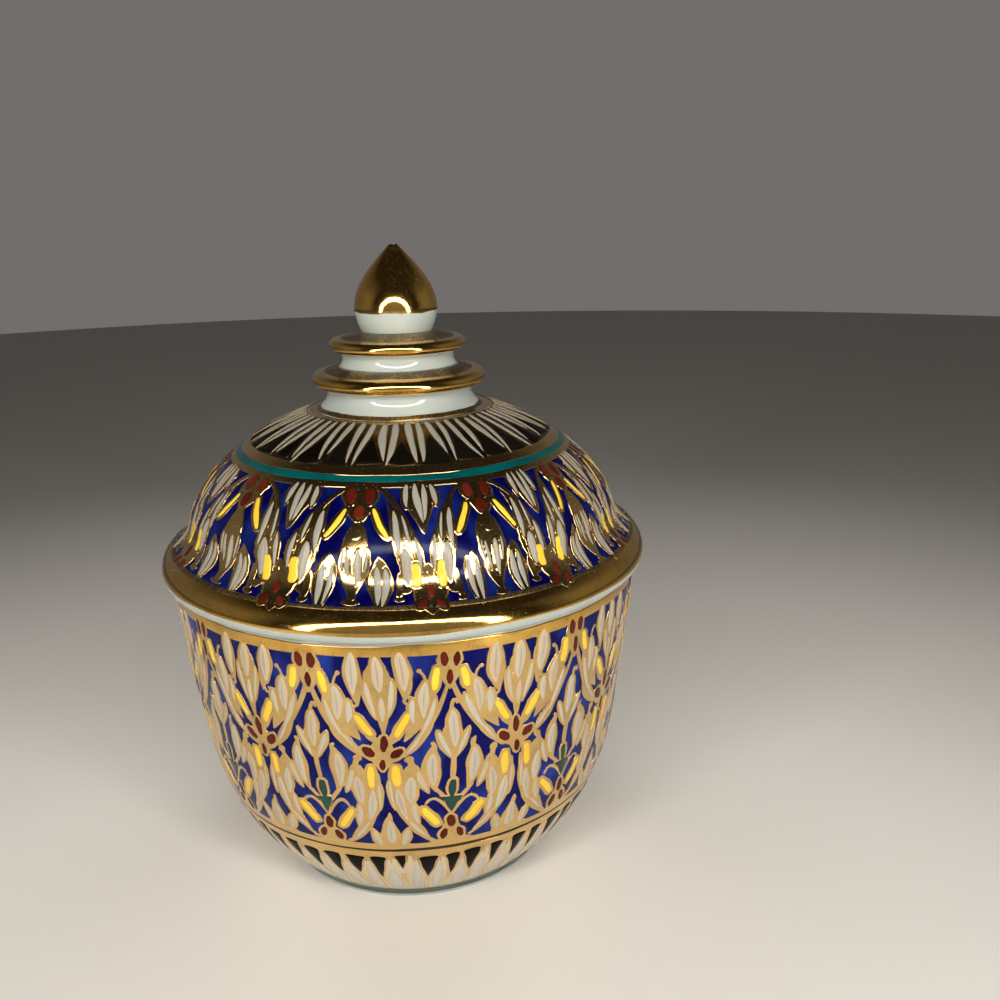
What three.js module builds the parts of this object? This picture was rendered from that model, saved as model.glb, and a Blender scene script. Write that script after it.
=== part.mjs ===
// A small lidded porcelain cup of the enamelled Thai kind, in millimetres, +Z up.
// It stands on its foot ring at z = 0, and the Z axis is the axis it was turned on.
// Two loose pieces come apart by hand: the cup, and the lid, whose finial of two tiers
// and a bud is stuck to the dome with slip before firing.
import * as THREE from 'three';

// Foot
const FOOT_RADIUS = 24.3; // outside of the ring that stands on the table
const FOOT_LAND = 2.4; // width of the flat unglazed land under the ring
const FOOT_HEIGHT = 2.0; // where the foot ends and the bowl begins
const FOOT_FLARE = 0.7; // how far the bowl begins outside the foot
const FOOT_RECESS = 2.6; // depth of the turned hollow inside the foot ring

// Cup
const CUP_HEIGHT = 54.7; // table to the flat land round the mouth
const CUP_WALL = 2.9; // thickness of the bowl's wall
const CUP_FLOOR = 3.4; // thickness of the bowl's floor
const BELLY_RADIUS = 37.0; // where the round bowl turns into the upright wall
const BELLY_HEIGHT = 26.0;
const BELLY_LEAN = 0.15; // outward lean of the wall at the belly, as a slope
const MOUTH_RADIUS = 40.3; // outside of the mouth
const MOUTH_LEAN = 0.06; // outward lean of the wall at the mouth, as a slope
const EDGE_ROUND = 0.5; // softened edge of fired porcelain

// Lid
const LID_WALL = 2.9; // thickness of the dome
const LID_OVERHANG = 0.7; // how far the lid's flat seat reaches past the cup's mouth
const RIM_BULGE = 1.0; // how far the rolled rim swells past the seat's edge
const RIM_HEIGHT = 4.0; // height of the rolled rim
const SHOULDER_RADIUS = 36.6; // where the flared rim turns into the dome
const SHOULDER_RISE = 5.3; // height of the shoulder above the rim
const DOME_RISE = 17.2; // height of the dome above the shoulder
const FLANGE_DEPTH = 4.6; // how far the locating flange drops into the mouth
const FLANGE_WALL = 2.6; // thickness of the flange
const FLANGE_CLEARANCE = 0.8; // play between the flange and the mouth, all round

// Finial
const LOWER_NECK_RADIUS = 12.6;
const LOWER_NECK_FOOT = 1.7; // how far the neck spreads where it meets the dome
const LOWER_NECK_HEIGHT = 4.0;
const LOWER_DISC_RADIUS = 14.7;
const LOWER_DISC_EDGE = 2.2; // thickness of the disc's round edge
const LOWER_DISC_RISE = 1.0; // height of the sloped top over the edge
const UPPER_NECK_RADIUS = 9.9;
const UPPER_NECK_HEIGHT = 2.6;
const UPPER_DISC_RADIUS = 11.5;
const UPPER_DISC_EDGE = 1.9;
const UPPER_DISC_RISE = 1.1;
const BUD_FOOT_RADIUS = 5.9;
const BUD_RADIUS = 7.0; // widest, low on the bud
const BUD_BELLY = 4.0; // height of the widest place over the bud's foot
const BUD_HEIGHT = 14.2;
const TIP_RADIUS = 0.6; // ring of the blunt tip
const TIP_DIMPLE = 0.5; // depth of the pinhole in the tip
const SEAT_SHELF = 1.3; // ring of dome left bare round the finial's foot

// Facets
const TURNS = 60; // flats round the cup and the lid
const FINIAL_TURNS = 40; // flats round the finial's pieces
const CURVE_STEPS = 6; // pieces in a long curve of a profile
const ROUND_STEPS = 3; // pieces in a softened edge

// Places that follow from the sizes
const MOUTH_INNER = MOUTH_RADIUS - CUP_WALL;
const SEAT_RADIUS = MOUTH_RADIUS + LID_OVERHANG;
const FLANGE_OUTER = MOUTH_INNER - FLANGE_CLEARANCE;
const FLANGE_INNER = FLANGE_OUTER - FLANGE_WALL;
const RIM_TOP = CUP_HEIGHT + RIM_HEIGHT;
const SHOULDER_Z = RIM_TOP + SHOULDER_RISE;
const DOME_TOP = SHOULDER_Z + DOME_RISE;
const FINIAL_FOOT_RADIUS = LOWER_NECK_RADIUS + LOWER_NECK_FOOT;
const DOME_LAND_RADIUS = FINIAL_FOOT_RADIUS + SEAT_SHELF;
const LOWER_TIER_TOP = DOME_TOP + LOWER_NECK_HEIGHT + LOWER_DISC_EDGE + LOWER_DISC_RISE;
const UPPER_TIER_TOP = LOWER_TIER_TOP + UPPER_NECK_HEIGHT + UPPER_DISC_EDGE + UPPER_DISC_RISE;

const at = (radius, z) => new THREE.Vector2(radius, z);

// A cubic curve from a to d, pulled towards b and c.
function curve(a, b, c, d, steps = CURVE_STEPS) {
  return new THREE.CubicBezierCurve(a, b, c, d).getPoints(steps);
}

// A corner between two other points, softened by a curve that starts and ends
// the given distance from it, or half way along the shorter side.
function soften(before, corner, after, distance) {
  const reach = Math.min(distance, corner.distanceTo(before) / 2, corner.distanceTo(after) / 2);
  const start = corner.clone().add(before.clone().sub(corner).setLength(reach));
  const end = corner.clone().add(after.clone().sub(corner).setLength(reach));
  return new THREE.QuadraticBezierCurve(start, corner, end).getPoints(ROUND_STEPS);
}

// A line of profile points moved to its left by a wall's thickness.
function wallInside(points, thickness) {
  return points.map((point, i) => {
    const from = points[Math.max(i - 1, 0)];
    const to = points[Math.min(i + 1, points.length - 1)];
    const along = to.clone().sub(from).normalize();
    return at(point.x - along.y * thickness, point.y + along.x * thickness);
  });
}

// A solid turned about the Z axis. The profile runs from the axis out under the piece,
// up its outside and back to the axis, and points that repeat are dropped.
function turned(name, profile, turns, material) {
  const apart = (point, i) => i === 0 || point.distanceTo(profile[i - 1]) > 1e-4;
  const geometry = new THREE.LatheGeometry(profile.filter(apart), turns);
  geometry.rotateX(Math.PI / 2);
  const mesh = new THREE.Mesh(geometry, material);
  mesh.name = name;
  return mesh;
}

function cupBowl(material) {
  const bowlStart = at(FOOT_RADIUS + FOOT_FLARE, FOOT_HEIGHT);
  const belly = at(BELLY_RADIUS, BELLY_HEIGHT);
  const mouth = at(MOUTH_RADIUS, CUP_HEIGHT);
  const bowlRise = belly.y - bowlStart.y;
  const wallRise = mouth.y - belly.y;
  const round = curve(
    bowlStart,
    at(bowlStart.x + bowlRise * 0.23, bowlStart.y + bowlRise * 0.25),
    at(belly.x - BELLY_LEAN * bowlRise * 0.5, belly.y - bowlRise * 0.5),
    belly,
  );
  const upright = curve(
    belly,
    at(belly.x + (BELLY_LEAN * wallRise) / 3, belly.y + wallRise / 3),
    at(mouth.x - (MOUTH_LEAN * wallRise) / 3, mouth.y - wallRise / 3),
    mouth,
  );
  const outside = [...round, ...upright.slice(1)];

  const recessTop = at(FOOT_RADIUS - FOOT_LAND - EDGE_ROUND, FOOT_RECESS);
  const landInner = at(FOOT_RADIUS - FOOT_LAND, 0);
  const landOuter = at(FOOT_RADIUS, 0);
  const floorZ = FOOT_RECESS + CUP_FLOOR;
  const inside = wallInside(outside, CUP_WALL);
  inside[inside.length - 1] = at(MOUTH_INNER, CUP_HEIGHT);
  const hollow = inside.filter((point) => point.y > floorZ + CUP_FLOOR).reverse();
  const lowest = hollow[hollow.length - 1];
  const floorCurve = curve(
    lowest,
    at(lowest.x - CUP_FLOOR * 0.6, floorZ + CUP_FLOOR * 0.3),
    at(lowest.x - CUP_FLOOR * 1.4, floorZ),
    at(lowest.x - CUP_FLOOR * 3, floorZ),
  );

  return turned('cup_bowl', [
    at(0, FOOT_RECESS),
    ...soften(at(0, FOOT_RECESS), recessTop, landInner, EDGE_ROUND),
    ...soften(recessTop, landInner, landOuter, EDGE_ROUND),
    ...soften(landInner, landOuter, bowlStart, EDGE_ROUND),
    ...outside.slice(0, -1),
    ...soften(outside[outside.length - 2], mouth, hollow[0], EDGE_ROUND),
    ...soften(mouth, hollow[0], hollow[1], EDGE_ROUND),
    ...hollow.slice(1),
    ...floorCurve,
    at(0, floorZ),
  ], TURNS, material);
}

function lidDome(material) {
  const seatEdge = at(SEAT_RADIUS, CUP_HEIGHT);
  const rimTop = at(SEAT_RADIUS, RIM_TOP);
  const shoulder = at(SHOULDER_RADIUS, SHOULDER_Z);
  const land = at(DOME_LAND_RADIUS, DOME_TOP);
  const bulge = (RIM_BULGE * 4) / 3; // a cubic swells three quarters as far as its handles
  const rim = curve(
    seatEdge,
    at(seatEdge.x + bulge, seatEdge.y + RIM_HEIGHT * 0.1),
    at(rimTop.x + bulge, rimTop.y - RIM_HEIGHT * 0.35),
    rimTop,
  );
  const flareWidth = rimTop.x - shoulder.x;
  const flare = curve(
    rimTop,
    at(rimTop.x - flareWidth * 0.4, rimTop.y + SHOULDER_RISE * 0.3),
    at(shoulder.x + flareWidth * 0.13, shoulder.y - SHOULDER_RISE * 0.45),
    shoulder,
    CURVE_STEPS / 2,
  );
  const domeWidth = shoulder.x - land.x;
  const dome = curve(
    shoulder,
    at(shoulder.x - domeWidth * 0.05, shoulder.y + DOME_RISE * 0.28),
    at(land.x + domeWidth * 0.65, land.y - DOME_RISE * 0.25),
    land,
    CURVE_STEPS + CURVE_STEPS / 2,
  );

  const flangeTop = at(FLANGE_INNER, RIM_TOP);
  const flangeInner = at(FLANGE_INNER, CUP_HEIGHT - FLANGE_DEPTH);
  const flangeOuter = at(FLANGE_OUTER, CUP_HEIGHT - FLANGE_DEPTH);
  const seatInner = at(FLANGE_OUTER, CUP_HEIGHT);
  const crown = at(0, DOME_TOP - LID_WALL);
  const underDome = wallInside(dome, LID_WALL)
    .filter((point) => point.x < FLANGE_INNER && point.y < crown.y - LID_WALL / 2)
    .reverse();
  const highest = underDome[0];

  return turned('lid_dome', [
    ...curve(
      crown,
      at(highest.x * 0.4, crown.y),
      at(highest.x * 0.75, crown.y - LID_WALL * 0.1),
      highest,
      CURVE_STEPS / 2,
    ),
    ...underDome.slice(1),
    flangeTop,
    ...soften(flangeTop, flangeInner, flangeOuter, EDGE_ROUND),
    ...soften(flangeInner, flangeOuter, seatInner, EDGE_ROUND),
    seatInner,
    ...rim,
    ...flare.slice(1),
    ...dome.slice(1),
    at(0, DOME_TOP),
  ], TURNS, material);
}

// A tier of the finial: a round neck under a disc with a round edge and a sloped top,
// which ends in a flat land for the piece above.
function finialTier(name, baseZ, sizes, material) {
  const { neckRadius, neckFoot, neckHeight, discRadius, discEdge, discRise, landRadius } = sizes;
  const neckTop = baseZ + neckHeight;
  const edgeTop = neckTop + discEdge;
  const top = edgeTop + discRise;
  const edgeStart = discRadius - discEdge / 2;
  const edgeBulge = (discEdge * 2) / 3; // handles that make the edge a half circle
  return turned(name, [
    at(0, baseZ),
    ...curve(
      at(neckRadius + neckFoot, baseZ),
      at(neckRadius + neckFoot * 0.4, baseZ + neckFoot * 0.3),
      at(neckRadius, baseZ + neckHeight * 0.3),
      at(neckRadius, baseZ + neckHeight * 0.6),
      CURVE_STEPS / 2,
    ),
    at(neckRadius, neckTop),
    ...curve(
      at(edgeStart, neckTop),
      at(edgeStart + edgeBulge, neckTop),
      at(edgeStart + edgeBulge, edgeTop),
      at(edgeStart, edgeTop),
    ),
    ...curve(
      at(edgeStart, edgeTop),
      at(edgeStart - (edgeStart - landRadius) * 0.3, edgeTop + discRise * 0.1),
      at(landRadius + (edgeStart - landRadius) * 0.3, top - discRise * 0.2),
      at(landRadius, top),
      CURVE_STEPS / 2,
    ),
    at(0, top),
  ], FINIAL_TURNS, material);
}

function finialBud(baseZ, material) {
  const belly = baseZ + BUD_BELLY;
  const tip = baseZ + BUD_HEIGHT;
  const taper = tip - belly;
  return turned('finial_bud', [
    at(0, baseZ),
    ...curve(
      at(BUD_FOOT_RADIUS, baseZ),
      at(BUD_FOOT_RADIUS + (BUD_RADIUS - BUD_FOOT_RADIUS) * 0.7, baseZ + BUD_BELLY * 0.35),
      at(BUD_RADIUS, belly - BUD_BELLY * 0.35),
      at(BUD_RADIUS, belly),
      CURVE_STEPS / 2,
    ),
    ...curve(
      at(BUD_RADIUS, belly),
      at(BUD_RADIUS, belly + taper * 0.4),
      at(TIP_RADIUS + (BUD_RADIUS - TIP_RADIUS) * 0.3, tip - taper * 0.2),
      at(TIP_RADIUS, tip),
    ),
    at(TIP_RADIUS / 2, tip - TIP_DIMPLE / 2),
    at(0, tip - TIP_DIMPLE),
  ], FINIAL_TURNS, material);
}

function finish(color, roughness, metalness) {
  return new THREE.MeshStandardMaterial({ color, roughness, metalness });
}

const enamelled = () => finish(0x2a35a8, 0.15, 0.0);
const gilt = () => finish(0xc8963c, 0.22, 0.9);

const cup = new THREE.Group();
cup.add(cupBowl(enamelled()));

const lid = new THREE.Group();
lid.add(
  lidDome(enamelled()),
  finialTier('finial_lower_tier', DOME_TOP, {
    neckRadius: LOWER_NECK_RADIUS,
    neckFoot: LOWER_NECK_FOOT,
    neckHeight: LOWER_NECK_HEIGHT,
    discRadius: LOWER_DISC_RADIUS,
    discEdge: LOWER_DISC_EDGE,
    discRise: LOWER_DISC_RISE,
    landRadius: UPPER_NECK_RADIUS,
  }, gilt()),
  finialTier('finial_upper_tier', LOWER_TIER_TOP, {
    neckRadius: UPPER_NECK_RADIUS,
    neckFoot: 0,
    neckHeight: UPPER_NECK_HEIGHT,
    discRadius: UPPER_DISC_RADIUS,
    discEdge: UPPER_DISC_EDGE,
    discRise: UPPER_DISC_RISE,
    landRadius: BUD_FOOT_RADIUS,
  }, gilt()),
  finialBud(UPPER_TIER_TOP, gilt()),
);

const liddedCup = new THREE.Group();
liddedCup.add(cup, lid);

export default liddedCup;
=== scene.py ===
"""A small lidded porcelain cup: white glaze, a cobalt ground, gilt line work and raised enamels."""

import logging
import math
from dataclasses import dataclass, field, replace
from enum import Enum
from typing import ClassVar

import bpy
import numpy as np
from mathutils import Matrix

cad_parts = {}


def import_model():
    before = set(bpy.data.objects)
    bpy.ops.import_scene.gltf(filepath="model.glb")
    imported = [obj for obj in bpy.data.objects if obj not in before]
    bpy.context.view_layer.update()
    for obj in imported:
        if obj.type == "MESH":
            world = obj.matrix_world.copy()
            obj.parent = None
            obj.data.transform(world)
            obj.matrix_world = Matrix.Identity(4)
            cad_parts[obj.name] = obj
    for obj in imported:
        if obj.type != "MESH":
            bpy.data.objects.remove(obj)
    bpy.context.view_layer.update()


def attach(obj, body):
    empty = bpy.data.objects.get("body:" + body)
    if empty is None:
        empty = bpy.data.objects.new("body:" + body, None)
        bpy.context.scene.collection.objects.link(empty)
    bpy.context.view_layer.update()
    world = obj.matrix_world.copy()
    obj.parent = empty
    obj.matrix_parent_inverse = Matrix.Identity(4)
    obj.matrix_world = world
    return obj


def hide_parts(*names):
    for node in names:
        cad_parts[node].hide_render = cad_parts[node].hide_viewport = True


log = logging.getLogger("lidded_cup")

MM = 0.001
SEED = 1782
CHART_RADIUS = 38.0  # radius at which a width on the ornament's chart is its real width, in mm
AROUND = 360  # steps round a turned piece
FILM = 0.06  # mm by which the glaze stays inside the measured outline, to leave room for coats
SPIKE_START = 60  # a spike is at its full width after a sixtieth of its length

NO_TRIS = np.zeros((0, 3), int)
NO_QUADS = np.zeros((0, 4), int)

Point = tuple[float, float]
Colour = tuple[float, float, float]
Pulls = tuple[Point, Point]
Band = tuple[str, float, float, float, bpy.types.Material]


def cubic(start: Point, out: Point, back: Point, end: Point, steps: int = 40) -> np.ndarray:
    """Points of a cubic curve: its four points weighted by the Bernstein polynomials.

    Args:
        start: Start of the curve.
        out: Step from the start to the point that pulls it.
        back: Step from the end to the point that pulls it.
        end: End of the curve.
        steps: Number of pieces.

    Returns:
        An array of steps + 1 points.
    """
    t = np.linspace(0, 1, steps + 1)[:, None]
    start, out, back, end = (np.array(p, float) for p in (start, out, back, end))
    pulls = 3 * t * (1 - t) ** 2 * (start + out) + 3 * t * t * (1 - t) * (end + back)
    return (1 - t) ** 3 * start + pulls + t**3 * end


def pulls(shares: Pulls, wide: float, high: float) -> list[Point]:
    """The two pulls of a curve, given as shares of its width and height."""
    return [(wide * across, high * up) for across, up in shares]


def join(*stretches: np.ndarray) -> np.ndarray:
    """One line of points from several, without the points that repeat.

    Args:
        stretches: Arrays of points, or single points.

    Returns:
        An array of points.
    """
    points = np.concatenate([np.atleast_2d(np.array(s, float)) for s in stretches])
    apart = np.ones(len(points), bool)
    apart[1:] = np.hypot(*np.diff(points, axis=0).T) > 1e-4
    return points[apart]


def soften(before: Point, corner: Point, after: Point, reach: float, steps: int = 6) -> np.ndarray:
    """A corner rounded by a quadratic curve whose middle point is the corner.

    Args:
        before: A point on the side that leads to the corner.
        corner: The corner.
        after: A point on the side that leaves it.
        reach: How far from the corner the curve starts and ends.
        steps: Number of pieces.

    Returns:
        The points of the curve.
    """
    before, corner, after = (np.array(p, float) for p in (before, corner, after))
    start = corner + (before - corner) * reach / np.linalg.norm(before - corner)
    end = corner + (after - corner) * reach / np.linalg.norm(after - corner)
    t = np.linspace(0, 1, steps + 1)[:, None]
    return (1 - t) ** 2 * start + 2 * t * (1 - t) * corner + t * t * end


class Profile:
    """A line of (radius, height) points in mm, read by the distance along it from its start."""

    def __init__(self, points: np.ndarray) -> None:
        """Measures the line.

        Args:
            points: The points, with the outside of the piece on their right.
        """
        self.points = np.array(points, float)
        steps = np.hypot(*np.diff(self.points, axis=0).T)
        self.along = np.concatenate([[0.0], np.cumsum(steps)])
        self.length = float(self.along[-1])
        tangent = np.gradient(self.points, self.along, axis=0)
        tangent /= np.linalg.norm(tangent, axis=1)[:, None]
        self.normals = np.stack([tangent[:, 1], -tangent[:, 0]], axis=1)

    def radius(self, s: np.ndarray) -> np.ndarray:
        """The radius at the distances s."""
        return np.interp(s, self.along, self.points[:, 0])

    def lifted(self, s: np.ndarray, rise: np.ndarray) -> tuple[np.ndarray, np.ndarray]:
        """Radius and height of points that stand off the line along its normal.

        Args:
            s: Distances along the line.
            rise: How far each point stands off it.

        Returns:
            The radii and the heights.
        """
        radius = self.radius(s) + rise * np.interp(s, self.along, self.normals[:, 0])
        height = np.interp(s, self.along, self.points[:, 1])
        height = height + rise * np.interp(s, self.along, self.normals[:, 1])
        return radius, height

    def inside(self, thickness: float) -> np.ndarray:
        """The line moved inwards along its normals by a wall's thickness."""
        return self.points - self.normals * thickness

    def s_at(self, height: float) -> float:
        """The distance along the line at which it first reaches a height."""
        return float(np.interp(height, self.points[:, 1], self.along))

    def place(self, angle: np.ndarray, s: np.ndarray, rise: np.ndarray) -> np.ndarray:
        """Points of the turned surface: angle 0 faces the camera and grows to its right.

        Args:
            angle: Angles about the axis, in radians.
            s: Distances along the line, in mm.
            rise: Heights over the surface, in mm.

        Returns:
            Points in metres, with a last axis of three.
        """
        radius, height = self.lifted(s, rise)
        return np.stack([radius * np.sin(angle), -radius * np.cos(angle), height], axis=-1) * MM


def new_mesh(name: str, points: np.ndarray, quads: np.ndarray, tris: np.ndarray) -> bpy.types.Object:
    """A smooth mesh object from arrays of corners.

    Args:
        name: Name of the object.
        points: Corner places in metres, in rows of three.
        quads: Corner numbers in rows of four.
        tris: Corner numbers in rows of three.

    Returns:
        The object, at the origin.
    """
    mesh = bpy.data.meshes.new(name)
    mesh.vertices.add(len(points))
    mesh.vertices.foreach_set("co", np.ascontiguousarray(points, np.float32).ravel())
    corners = np.concatenate([quads.ravel(), tris.ravel()]).astype(np.int32)
    sizes = np.concatenate([np.full(len(quads), 4), np.full(len(tris), 3)]).astype(np.int32)
    mesh.loops.add(len(corners))
    mesh.loops.foreach_set("vertex_index", corners)
    mesh.polygons.add(len(sizes))
    starts = np.concatenate([[0], np.cumsum(sizes)[:-1]]).astype(np.int32)
    mesh.polygons.foreach_set("loop_start", starts)
    mesh.polygons.foreach_set("use_smooth", np.ones(len(sizes), bool))
    mesh.update(calc_edges=True)
    mesh.validate()
    piece = bpy.data.objects.new(name, mesh)
    bpy.context.scene.collection.objects.link(piece)
    return piece


def lathe(name: str, outline: np.ndarray, around: int = AROUND) -> bpy.types.Object:
    """A solid turned about the axis: each outline point carried round a circle of its radius.

    Args:
        name: Name of the object.
        outline: (radius, height) points in mm, from the axis out under the piece and back to it.
        around: Steps round the axis.

    Returns:
        The object.
    """
    angle = np.linspace(0, 2 * np.pi, around, endpoint=False)
    body = outline[1:-1]
    ring = np.stack(
        [
            body[:, :1] * np.sin(angle),
            -body[:, :1] * np.cos(angle),
            np.repeat(body[:, 1:], around, axis=1),
        ],
        axis=-1,
    )
    poles = [[0, 0, outline[0, 1]], [0, 0, outline[-1, 1]]]
    points = np.concatenate([ring.reshape(-1, 3), poles]) * MM
    rows = len(body)
    here = np.arange(rows * around).reshape(rows, around)
    onward = np.roll(here, -1, axis=1)
    quads = np.stack([here[:-1], onward[:-1], onward[1:], here[1:]], axis=-1).reshape(-1, 4)
    low, high = rows * around, rows * around + 1
    under = np.stack([np.full(around, low), onward[0], here[0]], axis=-1)
    over = np.stack([here[-1], onward[-1], np.full(around, high)], axis=-1)
    return new_mesh(name, points, quads, np.concatenate([under, over]))


@dataclass(frozen=True)
class Wobble:
    """How unevenly a brushed edge runs round the piece: a sum of slow waves."""

    reach: float = 0.08  # mm to either side
    waves: tuple[int, ...] = (5, 11, 23)

    def along(self, angle: np.ndarray, phase: float) -> np.ndarray:
        """The edge's offset in mm at each angle."""
        parts = [np.sin(n * angle + phase * (n + 1)) / (i + 1) for i, n in enumerate(self.waves)]
        return self.reach * sum(parts)


EVEN = Wobble(0.03)
CALM = Wobble(0.06)
EDGE = 0.12  # mm over which the edge of a coat rounds over
SUNK = 0.05  # mm by which its edge goes under the surface
BURIED = 0.06  # mm by which its underside does
TURN = (0.3, 0.7)  # where the rounding turns, in shares of EDGE and of the coat's thickness


def ring_band(
    name: str,
    profile: Profile,
    low: float,
    high: float,
    rise: float,
    wobble: Wobble = Wobble(),
    around: int = AROUND,
    step: float = 0.6,
) -> bpy.types.Object:
    """A coat that runs round a turned surface: its section follows the profile, rise proud of it,
    and closes under the surface. The two edges wave with the angle.

    Args:
        name: Name of the object.
        profile: The surface's profile.
        low: Where the band starts along the profile, in mm.
        high: Where it ends.
        rise: Thickness over the surface, in mm.
        wobble: How uneven the edges are.
        around: Steps round the axis.
        step: Greatest distance between points along the profile, in mm.

    Returns:
        The object.
    """
    angle = np.linspace(0, 2 * np.pi, around, endpoint=False)
    count = max(3, math.ceil((high - low) / step)) + 1
    inner = np.linspace(0, 1, count)
    edge = min(EDGE, (high - low) / 4) / (high - low)
    near, turn = edge * TURN[0], rise * TURN[1]
    over = np.linspace(edge, 1 - edge, count)
    across = np.concatenate([[0, near], over, [1 - near, 1], inner[::-1][1:-1]])
    top, under = np.full(count, rise), np.full(count - 2, -BURIED)
    lift = np.concatenate([[-SUNK, turn], top, [turn, -SUNK], under])
    first = low + wobble.along(angle, low)
    last = high + wobble.along(angle, high + 1.0)
    s = first + (last - first) * across[:, None]
    points = profile.place(np.broadcast_to(angle, s.shape), s, np.broadcast_to(lift[:, None], s.shape))
    rows = len(across)
    here = np.arange(rows * around).reshape(rows, around)
    onward = np.roll(here, -1, axis=1)
    above, above_on = np.roll(here, -1, axis=0), np.roll(onward, -1, axis=0)
    quads = np.stack([here, onward, above_on, above], axis=-1).reshape(-1, 4)
    return new_mesh(name, points.reshape(-1, 3), quads, NO_TRIS)


def flat_ring(name: str, start: float, end: float, height: float, rise: float) -> bpy.types.Object:
    """A coat on a level ring of a piece.

    Args:
        name: Name of the object.
        start: Radius at which it starts, in mm.
        end: Radius at which it ends. The coat faces up where that is the smaller one.
        height: Height of the surface.
        rise: Thickness of the coat.

    Returns:
        The object.
    """
    level = Profile(np.array([[start, height], [end, height]]))
    return ring_band(name, level, 0.0, level.length, rise, EVEN)


class Paint(Enum):
    """What a brush mark is painted in."""

    GILT = "gilt"
    VEIN = "vein_enamel"
    WHITE = "white_enamel"
    YELLOW = "yellow_enamel"
    MAROON = "maroon_enamel"
    GREEN = "green_enamel"
    BLACK = "black_enamel"


class Stroke(Enum):
    """Outline of a brush mark: where it is widest along its length, and how pointed it ends."""

    LEAF = (0.48, 0.85)
    ALMOND = (0.46, 0.64)
    PETAL = (0.35, 0.75)
    TULIP = (0.70, 0.9)
    OVAL = (0.5, 0.5)
    DROP = (0.32, 0.55)
    BAR = (0.5, 0.22)
    LINE = (0.5, 0.12)
    SPIKE = (0.0, 1.0)

    def width(self, t: np.ndarray) -> np.ndarray:
        """Share of the full width along the mark: a half sine wave, skewed to its widest place
        and raised to a power that blunts or points its ends. A spike narrows evenly instead.

        Args:
            t: Places along the mark, from 0 to 1.

        Returns:
            The share at each place.
        """
        peak, power = self.value
        if self is Stroke.SPIKE:
            return np.minimum(1.0, t * SPIKE_START) * (1 - t)
        skewed = t ** (math.log(0.5) / math.log(peak))
        return np.sin(np.pi * np.clip(skewed, 0, 1)) ** power


@dataclass(frozen=True)
class Mark:
    """One brush mark on the ornament's chart: x to the right and s up the surface, in mm."""

    paint: Paint
    stroke: Stroke
    path: tuple[Point, ...]  # two, three or four points that pull the middle line
    width: float
    outline: float = 0.46  # width of the gold left showing round it
    vein: float = 0.0  # width of the darker line along its middle

    def mirrored(self) -> "Mark":
        """The same mark on the other side of the middle line x = 0."""
        return replace(self, path=tuple((-x, s) for x, s in self.path))

    def moved(self, dx: float) -> "Mark":
        """The same mark further along the chart."""
        return replace(self, path=tuple((x + dx, s) for x, s in self.path))

    def control(self) -> np.ndarray:
        """The middle line as a cubic curve, whatever its number of points.

        Returns:
            The four points of the curve.
        """
        p = [np.array(q, float) for q in self.path]
        if len(p) == 2:
            p = [p[0], p[0] * 2 / 3 + p[1] / 3, p[0] / 3 + p[1] * 2 / 3, p[1]]
        elif len(p) == 3:
            p = [p[0], p[0] / 3 + p[1] * 2 / 3, p[1] * 2 / 3 + p[2] / 3, p[2]]
        return np.stack(p)


def both(*marks: Mark) -> list[Mark]:
    """The marks and their mirror images."""
    return [m for mark in marks for m in (mark, mark.mirrored())]


def leaf(width: float, *path: Point, stroke: Stroke = Stroke.ALMOND, vein: float = 0.0) -> Mark:
    """A white petal with a gold outline."""
    return Mark(Paint.WHITE, stroke, path, width, vein=vein)


def bar(width: float, *path: Point) -> Mark:
    """A yellow bar with a gold outline."""
    return Mark(Paint.YELLOW, Stroke.BAR, path, width)


def dot(width: float, *path: Point) -> Mark:
    """A maroon dot with a gold outline."""
    return Mark(Paint.MAROON, Stroke.OVAL, path, width)


def gold(width: float, *path: Point, stroke: Stroke = Stroke.LINE) -> Mark:
    """A mark in plain gold, by default a line."""
    return Mark(Paint.GILT, stroke, path, width, outline=0.0)


def bed(width: float, *path: Point) -> Mark:
    """A broad leaf in plain gold, on which petals lie."""
    return gold(width, *path, stroke=Stroke.LEAF)


def dab(width: float, *path: Point) -> Mark:
    """A round touch of plain gold."""
    return gold(width, *path, stroke=Stroke.OVAL)


@dataclass(frozen=True)
class Coat:
    """How far a coat's edge and its crown stand over the glaze, in mm."""

    edge: float
    crown: float


@dataclass(frozen=True)
class Hand:
    """How the painter's hand strays. Lengths are in mm, angles in degrees."""

    sway: float = 0.20  # slow waves over the chart
    slip: float = 0.08  # standard deviation of each mark's place
    swell: float = 0.08  # standard deviation of its width, as a share of it
    shake: float = 0.09  # waviness of its edges, as a share of its width
    reach: float = 0.0  # standard deviation of its length, as a share of it
    spread: float = 0.0  # by how much the repeats part at the front
    crowd: float = 0.0  # by how much they crowd to one side

    def chart(self, angle: np.ndarray, s: np.ndarray) -> tuple[np.ndarray, np.ndarray]:
        """Where a place on the even chart ends up: waves shift it both ways, and a sine and a
        cosine of the angle space the repeats unevenly.

        Args:
            angle: Angles in radians.
            s: Distances up the surface in mm.

        Returns:
            The strayed angles and distances.
        """
        # waves that go round 7, 17, 9 and 23 times, so that no two repeats stray alike
        x_wave = np.sin(7 * angle + 0.21 * s) + 0.6 * np.sin(17 * angle - 0.33 * s + 1.1)
        s_wave = np.sin(9 * angle + 0.27 * s + 2.0) + 0.5 * np.sin(23 * angle + 0.4 * s)
        turn = angle + self.sway * x_wave / CHART_RADIUS
        turn = turn + math.radians(self.spread) * np.sin(angle)
        turn = turn + math.radians(self.crowd) * (np.cos(angle) - 1)
        return turn, s + self.sway * s_wave


MARK_STEPS = ((3.2, 8), (6.5, 10), (math.inf, 16))  # length in mm under which a mark has so many


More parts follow.
